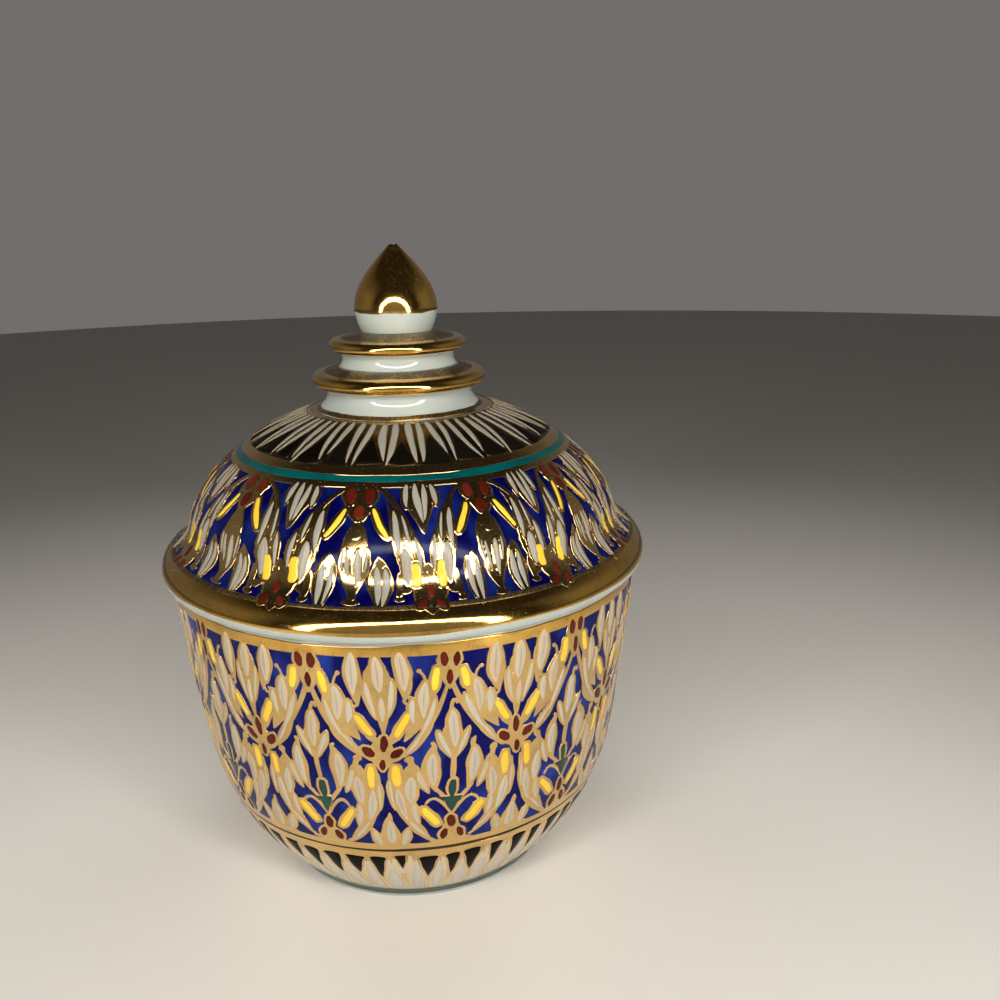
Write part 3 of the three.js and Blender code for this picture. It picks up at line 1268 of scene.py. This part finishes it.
    foot_radius: float = 24.3
    foot_land: float = 2.4
    foot_height: float = 2.0
    foot_flare: float = 0.7
    foot_recess: float = 2.6  # depth of the hollow inside the foot ring
    foot_white: float = 0.42  # share of the foot's height that stays white
    height: float = 54.7
    wall: float = 2.9
    floor: float = 3.4
    bowl_start: Point = (0.23, 0.25)  # how the bowl leaves the foot, in shares of its rise
    belly: Point = (37.0, 26.0)
    belly_lean: float = 0.15  # how far the wall leans out at the belly, for each mm it climbs
    mouth_radius: float = 40.3
    mouth_lean: float = 0.06  # how far it leans out at the mouth
    edge: float = 0.5  # how far from a corner its rounding starts
    repeats: int = 12  # of the lattice, round the cup
    first_angle: float = 8.0  # where the first repeat stands
    petals: int = 54
    outside: Profile = field(init=False)

    def __post_init__(self) -> None:
        """Works out the outside of the bowl: two cubic curves that meet at the belly."""
        start = (self.foot_radius + self.foot_flare - FILM, self.foot_height)
        belly = (self.belly[0] - FILM, self.belly[1])
        mouth = (self.mouth_radius - FILM, self.height)
        rise, wall = belly[1] - start[1], mouth[1] - belly[1]
        lean = self.belly_lean
        out, back = pulls((self.bowl_start, (-lean / 2, -0.5)), rise, rise)
        bowl = cubic(start, out, back, belly)
        upright = cubic(
            belly, (lean * wall / 3, wall / 3), (-self.mouth_lean * wall / 3, -wall / 3), mouth
        )
        self.outside = Profile(join(bowl, upright))

    def body(self) -> None:
        """The bowl in white glaze, inside and out: its outline is turned about the axis."""
        top = self.height - FILM
        floor_z = self.foot_recess + self.floor
        outer = self.outside.points[self.outside.points[:, 1] < top - self.edge]
        inner = self.outside.inside(self.wall - FILM)[::-1]
        inner = inner[(inner[:, 1] < top - self.edge) & (inner[:, 1] > floor_z + self.floor)]
        lowest = inner[-1]
        mouth = (self.mouth_radius - FILM, top)
        throat = (self.mouth_radius - self.wall, top)
        land_in = (self.foot_radius - self.foot_land, FILM / 2)
        land_out = (self.foot_radius - FILM, FILM / 2)
        recess = (self.foot_radius - self.foot_land - self.edge, self.foot_recess)
        outline = join(
            (0, self.foot_recess),
            soften((0, self.foot_recess), recess, land_in, self.edge),
            soften(recess, land_in, land_out, self.edge),
            soften(land_in, land_out, outer[0], self.edge),
            outer,
            soften(outer[-1], mouth, throat, self.edge),
            soften(mouth, throat, inner[0], self.edge),
            inner,
            cubic(
                lowest,
                (-self.floor * 0.6, floor_z + self.floor * 0.3 - lowest[1]),
                (self.floor * 1.6, 0),
                (lowest[0] - self.floor * 3, floor_z),
                12,
            ),
            (0, floor_z),
        )
        glaze = lathe("cup_glaze", outline)
        self.dress(glaze, self.finishes.glaze)
        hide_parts("cup_bowl")

    def lands(self) -> None:
        """The bare rings that the cup stands on and that the lid sits on."""
        radius, edge = self.foot_radius, self.edge
        foot = flat_ring("cup_foot_land", radius - self.foot_land + edge, radius - edge, 0.05, 0.05)
        self.dress(foot, self.finishes.biscuit)
        radius, top = self.mouth_radius, self.height - FILM
        mouth = flat_ring("cup_mouth_land", radius - edge, radius - self.wall + edge, top, 0.03)
        self.dress(mouth, self.finishes.biscuit)

    def bands(self) -> None:
        """The rings of colour and gold that frame the lattice."""
        fin = self.finishes
        rings = [
            ("cup_cobalt_ground", 19.0, 54.1, 0.05, fin.cobalt),
            ("cup_mouth_gilt", 53.8, self.outside.length - 0.6, 0.09, fin.band_gold),
            ("cup_upper_line_gilt", 17.9, 19.3, 0.07, fin.line_gold),
            ("cup_dark_line", 17.3, 17.95, 0.055, fin.dark_line),
            ("cup_lower_line_gilt", 15.95, 17.4, 0.07, fin.line_gold),
            ("cup_petal_ground", 0.75, 16.1, 0.05, fin.cream),
        ]
        self.coat(self.outside, rings)
        share = self.foot_white
        low = (self.foot_radius - FILM + self.foot_flare * share, self.foot_height * share)
        foot = Profile(join(low, self.outside.points[:2]))
        line = ring_band("cup_foot_line", foot, 0.0, foot.length, 0.05, EVEN)
        self.dress(line, fin.green_line)

    def lattice(self) -> None:
        """The lattice of rosettes, swags and flowers, twelve times round the cup."""
        half = math.pi * CHART_RADIUS / self.repeats
        columns = self.UPPER_GARLAND + self.LOWER_GARLAND + self.PALMETTE
        columns = columns + self.TOP_ROSETTE + self.BOTTOM_ROSETTE
        between = self.TULIP + self.MIDDLE_ROSETTE + self.SMALL_PALMETTE
        marks = columns + [mark.moved(half) for mark in between]
        work = BrushWork(self.outside, Hand(spread=2.0), self.first_angle, SEED)
        work.repeat(marks, self.repeats)
        self.paint(work, "cup_lattice", self.finishes.paints)

    def petal_ring(self) -> None:
        """The ring of pale pointed petals above the foot, parted by hanging black spikes."""
        pitch = 2 * math.pi * CHART_RADIUS / self.petals
        spike = Mark(Paint.BLACK, Stroke.SPIKE, ((0, 15.9), (0, 8.6)), 3.0, outline=0.5)
        core = Mark(Paint.WHITE, Stroke.PETAL, ((pitch / 2, 2.0), (pitch / 2, 13.4)), 1.7, outline=0.0)
        marks = [
            spike,
            gold(0.7, (0, 10.5), (0, 1.0)),
            gold(1.3, (pitch / 2, 16.2), (pitch / 2, 12.8), stroke=Stroke.SPIKE),
            core,
        ]
        hand = Hand(sway=0.1, slip=0.12, swell=0.14, reach=0.14)
        work = BrushWork(self.outside, hand, self.first_angle, SEED + 1)
        work.repeat(marks, self.petals)
        paints = {**self.finishes.paints, Paint.WHITE: self.finishes.pale_core}
        self.paint(work, "cup_petals", paints)

    def build(self) -> None:
        """Makes the whole cup."""
        self.body()
        self.lands()
        self.bands()
        self.lattice()
        self.petal_ring()


@dataclass
class Lid(Turned):
    """The lid: a dome with a rolled rim and a flange, with its painted bands and lattice. Lengths
    are in mm, angles in degrees."""

    BODY = "lid"
    SLOT = "lid_enamelled_porcelain"

    # three dots under the teal line, with a bar to either side
    UPPER_ROSETTE = [
        gold(5.4, (0, 25.2), (0, 18.4), stroke=Stroke.PETAL),
        dot(1.9, (0, 21.7), (0, 19.2)),
        *both(
            dot(1.85, (1.8, 24.7), (1.6, 21.9)),
            bar(0.9, (2.4, 21.2), (3.4, 18.8), (4.95, 16.4)),
        ),
    ]
    # the swag from an upper rosette down to the lower rosette beside it
    GARLAND = both(
        gold(0.9, (2.2, 24.8), (7.0, 23.2), (8.6, 17.6), (10.5, 10.8)),
        gold(4.6, (4.2, 23.4), (6.6, 19.6), (8.0, 15.0), (8.7, 8.8), stroke=Stroke.TULIP),
        leaf(0.95, (6.0, 20.8), (6.5, 17.4), (6.2, 14.0)),
        leaf(0.45, (7.5, 20.0), (8.1, 17.4), (8.2, 15.4)),
        leaf(1.75, (7.3, 15.4), (7.7, 12.6), (7.7, 9.8), vein=0.45),
        leaf(0.75, (9.1, 16.6), (9.6, 13.8), (9.7, 11.6)),
        gold(1.2, (6.6, 11.6), (6.4, 9.4), (6.5, 7.6)),
        dab(1.0, (5.6, 7.5), (7.3, 7.2)),
    )
    # the flower that hangs from an upper rosette inside the swags
    PENDANT = [
        gold(1.6, (0, 20.2), (0, 16.0)),
        bed(4.9, (0, 19.6), (0, 7.2)),
        leaf(1.15, (0.5, 14.9), (0.65, 12.2), (0.45, 9.4), vein=0.35),
        leaf(0.65, (-1.1, 14.8), (-1.05, 12.6), (-0.65, 10.4)),
        gold(1.3, (0, 9.8), (0, 6.9)),
        dab(1.15, (-1.3, 6.8), (1.3, 6.8)),
        *both(
            leaf(0.4, (1.75, 15.0), (1.9, 13.2), (1.5, 11.4)),
            bed(3.4, (3.5, 14.0), (4.0, 10.0), (3.8, 5.6)),
            leaf(1.05, (3.2, 12.6), (3.3, 9.6), (3.6, 6.4)),
            leaf(1.05, (4.3, 12.4), (4.7, 9.6), (4.15, 6.4)),
        ),
    ]
    # three dots on the rim's gold, with two bars over them
    LOWER_ROSETTE = [
        bed(5.8, (0, 12.8), (0, 4.6)),
        *both(dab(2.0, (0.9, 7.4), (2.2, 5.9))),
        dot(1.3, (0, 9.7), (0, 7.5)),
        *both(
            dot(1.35, (0.75, 7.3), (1.75, 5.8)),
            bar(1.6, (2.1, 13.0), (2.0, 9.3)),
            dab(1.2, (2.6, 9.2), (4.3, 8.4)),
        ),
    ]
    # the flower that hangs from the teal line over a lower rosette
    TULIP = [
        gold(4.0, (0, 25.6), (0, 16.8), stroke=Stroke.PETAL),
        *both(
            leaf(0.95, (0.75, 25.0), (0.8, 21.6), (0.15, 18.3)),
            leaf(0.9, (2.15, 24.9), (2.65, 22.9), (2.5, 20.9)),
        ),
    ]

    seat: float = 54.7
    mouth_radius: float = 40.3
    cup_wall: float = 2.9
    wall: float = 2.9
    overhang: float = 0.7
    rim_bulge: float = 1.0
    rim_height: float = 4.0
    rim_pulls: Pulls = ((1, 0.1), (1, -0.35))
    shoulder_radius: float = 36.6
    shoulder_rise: float = 5.3
    shoulder_pulls: Pulls = ((-0.4, 0.3), (0.13, -0.45))
    dome_rise: float = 17.2
    dome_pulls: Pulls = ((-0.05, 0.28), (0.65, -0.25))
    flange_depth: float = 4.6
    flange_wall: float = 2.6
    clearance: float = 0.8
    land_radius: float = 15.6
    edge: float = 0.5  # how far from a corner its rounding starts
    repeats: int = 11  # of the lattice, round the lid
    first_angle: float = 4.4  # where the first repeat stands
    petals: int = 30
    petal_angle: float = -0.4
    outside: Profile = field(init=False)

    def __post_init__(self) -> None:
        """Works out the outside: the rolled rim, the flare and the dome, a cubic curve each."""
        edge = self.mouth_radius + self.overhang - FILM
        low, top = self.seat + FILM, self.seat + self.rim_height
        shoulder = (self.shoulder_radius - FILM, top + self.shoulder_rise)
        land = (self.land_radius, shoulder[1] + self.dome_rise - FILM)
        bulge = self.rim_bulge * 4 / 3  # a pull of 4/3 makes a curve stand out by 1
        out, back = pulls(self.rim_pulls, bulge, self.rim_height)
        rim = cubic((edge, low), out, back, (edge, top))
        out, back = pulls(self.shoulder_pulls, edge - shoulder[0], self.shoulder_rise)
        flare = cubic((edge, top), out, back, shoulder, 24)
        out, back = pulls(self.dome_pulls, shoulder[0] - land[0], self.dome_rise)
        dome = cubic(shoulder, out, back, land, 60)
        self.dome = Profile(dome)
        self.outside = Profile(join(rim, flare, dome))

    @property
    def top(self) -> float:
        """Height of the flat land that the finial stands on."""
        return self.seat + self.rim_height + self.shoulder_rise + self.dome_rise

    def body(self) -> None:
        """The dome in white glaze, inside and out, with the flange under its seat."""
        flange_outer = self.mouth_radius - self.cup_wall - self.clearance
        flange_inner = flange_outer - self.flange_wall
        low = self.seat - self.flange_depth
        crown = self.top - self.wall
        inner = self.dome.inside(self.wall - FILM)
        inner = inner[(inner[:, 0] < flange_inner) & (inner[:, 1] < crown - self.wall / 2)][::-1]
        inner_foot = (flange_inner, low)
        outer_foot = (flange_outer, low)
        outline = join(
            cubic(
                (0, crown),
                (inner[0, 0] * 0.4, 0),
                (-inner[0, 0] * 0.25, crown - self.wall * 0.1 - inner[0, 1]),
                inner[0],
                16,
            ),
            inner,
            (flange_inner, self.seat + self.rim_height),
            soften((flange_inner, self.seat), inner_foot, outer_foot, self.edge),
            soften(inner_foot, outer_foot, (flange_outer, self.seat), self.edge),
            soften((flange_outer, low), (flange_outer, self.seat + FILM), self.outside.points[0], 0.2),
            self.outside.points,
            (0, self.top - FILM),
        )
        glaze = lathe("lid_glaze", outline)
        self.dress(glaze, self.finishes.glaze)
        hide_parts("lid_dome")

    def bands(self) -> None:
        """The rings of colour and gold that frame the lattice."""
        fin = self.finishes
        rings = [
            # the lid's ground is in the darker copy of the cobalt: painted shade
            ("lid_cobalt_ground", 6.0, 24.9, 0.05, fin.shaded_cobalt),
            ("lid_rim_gilt", 1.95, 5.8, 0.04, fin.band_gold),
            ("lid_rim_line_gilt", 5.7, 6.5, 0.08, fin.worn_gold),
            ("lid_lower_line_gilt", 24.5, 25.7, 0.09, fin.line_gold),
            ("lid_teal_line", 25.6, 26.95, 0.07, fin.teal),
            ("lid_upper_line_gilt", 26.9, 28.8, 0.09, fin.line_gold),
            # the petal ring's gold ground is in the darkened gold: painted shade
            ("lid_petal_ground_gilt", 28.6, 39.5, 0.05, fin.shade_painted_gold),
            ("lid_collar_gilt", 39.35, self.outside.length - 0.1, 0.16, fin.worn_gold),
        ]
        land = flat_ring(
            "lid_land_gilt", self.land_radius, self.land_radius - 1.6, self.top - FILM, 0.05
        )
        self.dress(land, fin.line_gold)
        self.coat(self.outside, rings)

    def lattice(self) -> None:
        """The lattice, eleven times round the lid."""
        half = math.pi * CHART_RADIUS / self.repeats
        columns = self.GARLAND + self.PENDANT + self.UPPER_ROSETTE
        between = self.TULIP + self.LOWER_ROSETTE
        marks = between + [mark.moved(half) for mark in columns]
        work = BrushWork(self.outside, Hand(crowd=10.0), self.first_angle, SEED + 2)
        work.repeat(marks, self.repeats)
        self.paint(work, "lid_lattice", self.finishes.lid_paints)

    def petal_ring(self) -> None:
        """The ring of split petals that point down from the finial, parted by black spikes."""
        pitch = 2 * math.pi * CHART_RADIUS / self.petals
        spike = Mark(Paint.BLACK, Stroke.SPIKE, ((0, 28.9), (0, 35.4)), 4.4, outline=0.32)
        strips = [
            Mark(Paint.WHITE, Stroke.DROP, ((x, 39.8), (x, 34.8), (x * 0.25, 29.3)), 1.08, outline=0.0)
            for x in (-1.9, 1.9)
        ]
        hand = Hand(sway=0.25, slip=0.15, swell=0.12, reach=0.06)
        work = BrushWork(self.outside, hand, self.petal_angle, SEED + 3)
        work.repeat([spike], self.petals)
        work.repeat([strip.moved(pitch / 2) for strip in strips], self.petals)
        # the petals' gold outlines are in the darkened gold too: painted shade
        paints = {**self.finishes.lid_paints, Paint.GILT: self.finishes.shade_painted_gold}
        self.paint(work, "lid_petals", paints)

    def build(self) -> None:
        """Makes the whole lid, without its finial."""
        self.body()
        self.bands()
        self.lattice()
        self.petal_ring()


@dataclass(frozen=True)
class TierSizes:
    """Sizes of one tier of the finial, in mm."""

    neck_radius: float
    neck_foot: float  # how far the neck spreads at its foot
    neck_height: float
    disc_radius: float
    disc_edge: float  # height of the disc's round edge
    disc_rise: float  # how far its top climbs inwards
    land_radius: float  # radius of the flat on top, where the next piece stands
    waist: float = 0.42  # how far the neck is hollowed

    @property
    def height(self) -> float:
        """Height of the whole tier."""
        return self.neck_height + self.disc_edge + self.disc_rise


@dataclass
class Finial(Turned):
    """The finial: two tiers of neck and disc, and the bud on top. Lengths are in mm."""

    BODY = "lid"
    SLOT = "gilt_porcelain"

    base: float
    lower: TierSizes = TierSizes(
        neck_radius=12.6,
        neck_foot=1.7,
        neck_height=4.0,
        disc_radius=14.7,
        disc_edge=2.2,
        disc_rise=1.0,
        land_radius=9.9,
    )
    upper: TierSizes = TierSizes(
        neck_radius=9.9,
        neck_foot=0.0,
        neck_height=2.6,
        disc_radius=11.5,
        disc_edge=1.9,
        disc_rise=1.1,
        land_radius=5.9,
    )
    bud_foot: float = 5.9
    bud_radius: float = 7.0
    bud_belly: float = 4.0
    bud_pulls: Pulls = ((0.7, 0.35), (0, -0.35))
    bud_height: float = 14.2
    tip_radius: float = 0.6
    point_pulls: Pulls = ((0, 0.4), (0.3, -0.2))
    dimple: float = 0.5  # depth of the pinhole
    fillet: float = 0.3  # size of the turn under each disc
    around: int = 240  # steps round each piece
    gilt_from: float = 3.3  # where the gold starts over the bud's foot
    gilt_margin: float = 0.15  # left white at both ends of a disc's section
    gilt_lap: float = 1.0  # by which the bright gold of a disc's edge runs onto its top
    gilt_rise: float = 0.04  # thickness of the gold

    def tier(self, name: str, base: float, sizes: TierSizes) -> None:
        """A tier: a white neck under a disc whose round edge is gilt and whose top is worn.

        Args:
            name: Start of its pieces' names, which is its solid's name too.
            base: Height of its foot.
            sizes: Its sizes.
        """
        neck_top = base + sizes.neck_height
        edge_top = neck_top + sizes.disc_edge
        top = edge_top + sizes.disc_rise
        start = sizes.disc_radius - sizes.disc_edge / 2 - FILM
        bulge = sizes.disc_edge * 2 / 3
        neck, foot = sizes.neck_radius - FILM, sizes.neck_foot
        stem = cubic(
            (neck + foot, base),
            (-foot * 0.7 - sizes.waist, sizes.neck_height * 0.3),
            (-sizes.waist * 1.5, self.fillet - sizes.neck_height * 0.4),
            (neck, neck_top - self.fillet),
            24,
        )
        under = soften((neck, base), (neck, neck_top), (start, neck_top), self.fillet)
        edge = cubic((start, neck_top), (bulge, 0), (bulge, 0), (start, edge_top), 24)
        reach = start - sizes.land_radius
        slope = cubic(
            (start, edge_top),
            (-reach * 0.3, sizes.disc_rise * 0.1),
            (reach * 0.3, FILM - sizes.disc_rise * 0.2),
            (sizes.land_radius, top - FILM),
            16,
        )
        outline = join((0, base), stem, under, edge, slope, (0, top - FILM))
        glaze = lathe(f"{name}_glaze", outline, self.around)
        self.dress(glaze, self.finishes.glaze)
        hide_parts(name)
        disc, gilt_end = Profile(join(edge, slope)), Profile(edge).length + self.gilt_lap
        film, margin, fin = self.gilt_rise, self.gilt_margin, self.finishes
        gilt = ring_band(f"{name}_gilt", disc, margin, gilt_end, film, Wobble(), self.around, 0.25)
        self.dress(gilt, fin.band_gold)
        if foot:
            collar = ring_band(
                f"{name}_collar_gilt", Profile(stem), 0.05, 1.0, film, CALM, self.around, 0.3
            )
            self.dress(collar, fin.worn_gold)
        low, high = gilt_end - 0.2, disc.length - margin
        worn = ring_band(f"{name}_worn_gilt", disc, low, high, 0.03, CALM, self.around)
        self.dress(worn, fin.worn_gold)

    def bud(self, base: float) -> None:
        """The bud: white at its foot, gilt above, with a pinhole in its tip.

        Args:
            base: Height of its foot.
        """
        belly, tip = base + self.bud_belly, base + self.bud_height - FILM
        taper = tip - belly
        wide = self.bud_radius - FILM
        tip_radius = self.tip_radius
        out, back = pulls(self.bud_pulls, wide - self.bud_foot, self.bud_belly)
        foot = cubic((self.bud_foot, base), out, back, (wide, belly), 16)
        out, back = pulls(self.point_pulls, wide - tip_radius, taper)
        point = cubic((wide, belly), out, back, (tip_radius, tip), 32)
        pit = cubic(
            (tip_radius, tip), (-tip_radius * 0.3, 0.02), (tip_radius / 2, 0), (0, tip - self.dimple), 8
        )
        glaze = lathe("finial_bud_glaze", join((0, base), foot, point, pit), self.around)
        self.dress(glaze, self.finishes.glaze)
        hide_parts("finial_bud")
        skin = Profile(join(foot, point))
        start = skin.s_at(base + self.gilt_from)
        film, end = self.gilt_rise, skin.length
        gilt = ring_band("finial_bud_gilt", skin, start, end, film, Wobble(), self.around, 0.4)
        self.dress(gilt, self.finishes.band_gold)

    def build(self) -> None:
        """Makes the tiers and the bud."""
        self.tier("finial_lower_tier", self.base, self.lower)
        self.tier("finial_upper_tier", self.base + self.lower.height, self.upper)
        self.bud(self.base + self.lower.height + self.upper.height)


@dataclass(frozen=True)
class Lamp:
    """A soft lamp, square to what it lights. Lengths are in metres."""

    name: str
    place: tuple[float, float, float]
    width: float
    height: float
    power: float  # watts
    colour: Colour = (1.0, 0.98, 0.94)
    aim: tuple[float, float, float] = (0.0, 0.0, 0.05)
    ring: float = 0.0  # outer radius of its bright ring
    ring_height: float = 0.0  # height of the ring's centre over the lamp's middle
    spread: float = 180.0  # full angle of its beam, in degrees


RING_HOLE = 0.78  # share of the ring's radius that is open
RING_GLOW = 0.012  # brightness of what shows through it, as a share of the ring's
RING = Lamp(
    "ring_lamp",
    place=(-0.02, -0.176, 0.117),
    width=0.32,
    height=0.156,
    power=2.65,
    aim=(-0.02, 0, 0.117),
    ring=0.16,
    ring_height=-0.079,
)
BACK = Lamp(
    "back_left_soft", place=(-0.26, 0.26, 0.26), width=0.26, height=0.2, power=0.055, spread=60.0
)
LAMPS = (
    RING,
    # the same ring turned away from the cup, so that the light on the floor has no hard edge
    replace(RING, name="ring_lamp_outward", place=(-0.02, -0.156, 0.117), aim=(-0.02, -1, 0.117)),
    BACK,
    replace(BACK, name="back_right_soft", place=(0.26, 0.26, 0.26)),
)
FLOOR_AROUND = 96  # steps round the floor


@dataclass
class Studio:
    """The floor, the lights and the camera. Lengths are in mm, angles in degrees."""

    dark: Colour = (0.022, 0.020, 0.018)
    side_walls: Colour = (0.19, 0.18, 0.16)
    back_wall: Colour = (0.14, 0.132, 0.125)
    backdrop: Colour = (0.165, 0.155, 0.15)
    floor_dull: Colour = (0.84, 0.80, 0.745)
    floor_bright: Colour = (0.88, 0.84, 0.785)
    floor_cloud: float = 60.0
    floor_radius: float = 1.0  # metres
    lamps: tuple[Lamp, ...] = LAMPS

    camera_back: float = 171.2
    camera_up: float = 113.15
    yaw: float = 5.65
    pitch: float = 16.19
    roll: float = -1.14
    lens: float = 35.96
    sensor: float = 36.0  # width of what the lens throws its picture on

    def camera(self) -> None:
        """Stands the camera in front of the cup and aims it by yaw, pitch and roll."""
        yaw, pitch, roll = (math.radians(a) for a in (self.yaw, self.pitch, self.roll))
        ahead = np.array(
            [math.sin(yaw) * math.cos(pitch), math.cos(yaw) * math.cos(pitch), -math.sin(pitch)]
        )
        level = np.array([math.cos(yaw), -math.sin(yaw), 0.0])
        above = np.cross(level, ahead)
        right = math.cos(roll) * level + math.sin(roll) * above
        up = -math.sin(roll) * level + math.cos(roll) * above
        data = bpy.data.cameras.new("camera")
        data.lens = self.lens
        data.sensor_width = self.sensor
        data.clip_start = 0.01
        camera = bpy.data.objects.new("camera", data)
        bpy.context.scene.collection.objects.link(camera)
        turn = Matrix(np.stack([right, up, -ahead], axis=1).tolist()).to_4x4()
        turn.translation = (0, -self.camera_back * MM, self.camera_up * MM)
        camera.matrix_world = turn
        bpy.context.scene.camera = camera

    def lamp(self, spec: Lamp) -> None:
        """Hangs a soft lamp and turns it to what it lights.

        Args:
            spec: Its sizes, power, place and aim.
        """
        data = bpy.data.lights.new(spec.name, "AREA")
        data.shape = "RECTANGLE" if spec.ring else "ELLIPSE"
        data.size = spec.width
        data.size_y = spec.height
        data.energy = spec.power
        data.color = spec.colour
        data.spread = math.radians(spec.spread)
        if spec.ring:
            tree = ShaderTree(data)
            spot = tree.node("ShaderNodeNewGeometry", output="Parametric")
            across, along = (
                tree.node("ShaderNodeSeparateXYZ", inputs={0: spot}, output=i) - 0.5 for i in (0, 1)
            )
            across, along = across * spec.width, along * spec.height - spec.ring_height
            out = across * across + along * along
            inner, outer = (spec.ring * RING_HOLE) ** 2, spec.ring**2
            glow = (out > inner) + RING_GLOW
            tree.feed(tree.nodes["Emission"].inputs["Strength"], glow * (out < outer))
        lamp = bpy.data.objects.new(spec.name, data)
        lamp.visible_camera = False
        lamp.visible_glossy = bool(spec.ring)
        bpy.context.scene.collection.objects.link(lamp)
        way = np.array(spec.place, float) - np.array(spec.aim, float)
        way /= np.linalg.norm(way)
        side = np.cross([0, 0, 1.0], way)
        side /= np.linalg.norm(side)
        turn = Matrix(np.stack([side, np.cross(way, side), way], axis=1).tolist()).to_4x4()
        turn.translation = spec.place
        lamp.matrix_world = turn

    def floor(self) -> None:
        """A round pale floor, one flat sheet."""
        around = FLOOR_AROUND
        angle = np.linspace(0, 2 * np.pi, around, endpoint=False)
        edge = np.stack([np.sin(angle), -np.cos(angle), np.zeros(around)], axis=1)
        here = np.arange(around)
        tris = np.stack([np.full(around, around), here, np.roll(here, -1)], axis=1)
        points = np.concatenate([edge * self.floor_radius, [[0, 0, 0]]])
        floor = new_mesh("floor", points, NO_QUADS, tris)
        tree = finish("pale_floor")
        cloud = tree.noise(self.floor_cloud, 2.0)
        colour = tree.mix(cloud, self.floor_dull, self.floor_bright)
        settings = {"Base Color": colour, "Roughness": 0.4, "Specular IOR Level": 0.25}
        floor.data.materials.append(tree.surface(settings))

    def world(self) -> None:
        """Grey walls to the sides and behind, darkness in front and overhead. The camera sees
        the walls as one plain backdrop."""
        bpy.context.scene.world = bpy.data.worlds.new("room")
        tree = ShaderTree(bpy.context.scene.world)
        way = tree.node("ShaderNodeTexCoord", output="Generated")
        back, up = (tree.node("ShaderNodeSeparateXYZ", inputs={0: way}, output=i) for i in (1, 2))
        walls = tree.mix(back.band(0.1, 0.5), self.side_walls, self.back_wall)
        walls = tree.mix(up.band(0.35, 0.75), walls, self.dark)
        colour = tree.mix(back.band(-0.5, -0.2), self.dark, walls)
        seen = tree.node("ShaderNodeLightPath", output="Is Camera Ray")
        colour = tree.mix(seen, colour, self.backdrop)
        tree.feed(tree.nodes["Background"].inputs["Color"], colour)

    def build(self) -> None:
        """Sets up the whole studio."""
        bpy.context.scene.view_settings.view_transform = "Standard"
        self.camera()
        self.floor()
        self.world()
        for spec in self.lamps:
            self.lamp(spec)


def main() -> None:
    """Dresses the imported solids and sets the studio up."""
    logging.basicConfig(level=logging.INFO, format="%(name)s: %(message)s")
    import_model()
    Studio().build()
    finishes = Finishes()
    Cup(finishes).build()
    lid = Lid(finishes)
    lid.build()
    Finial(finishes, lid.top).build()


if __name__ == "__main__":
    main()
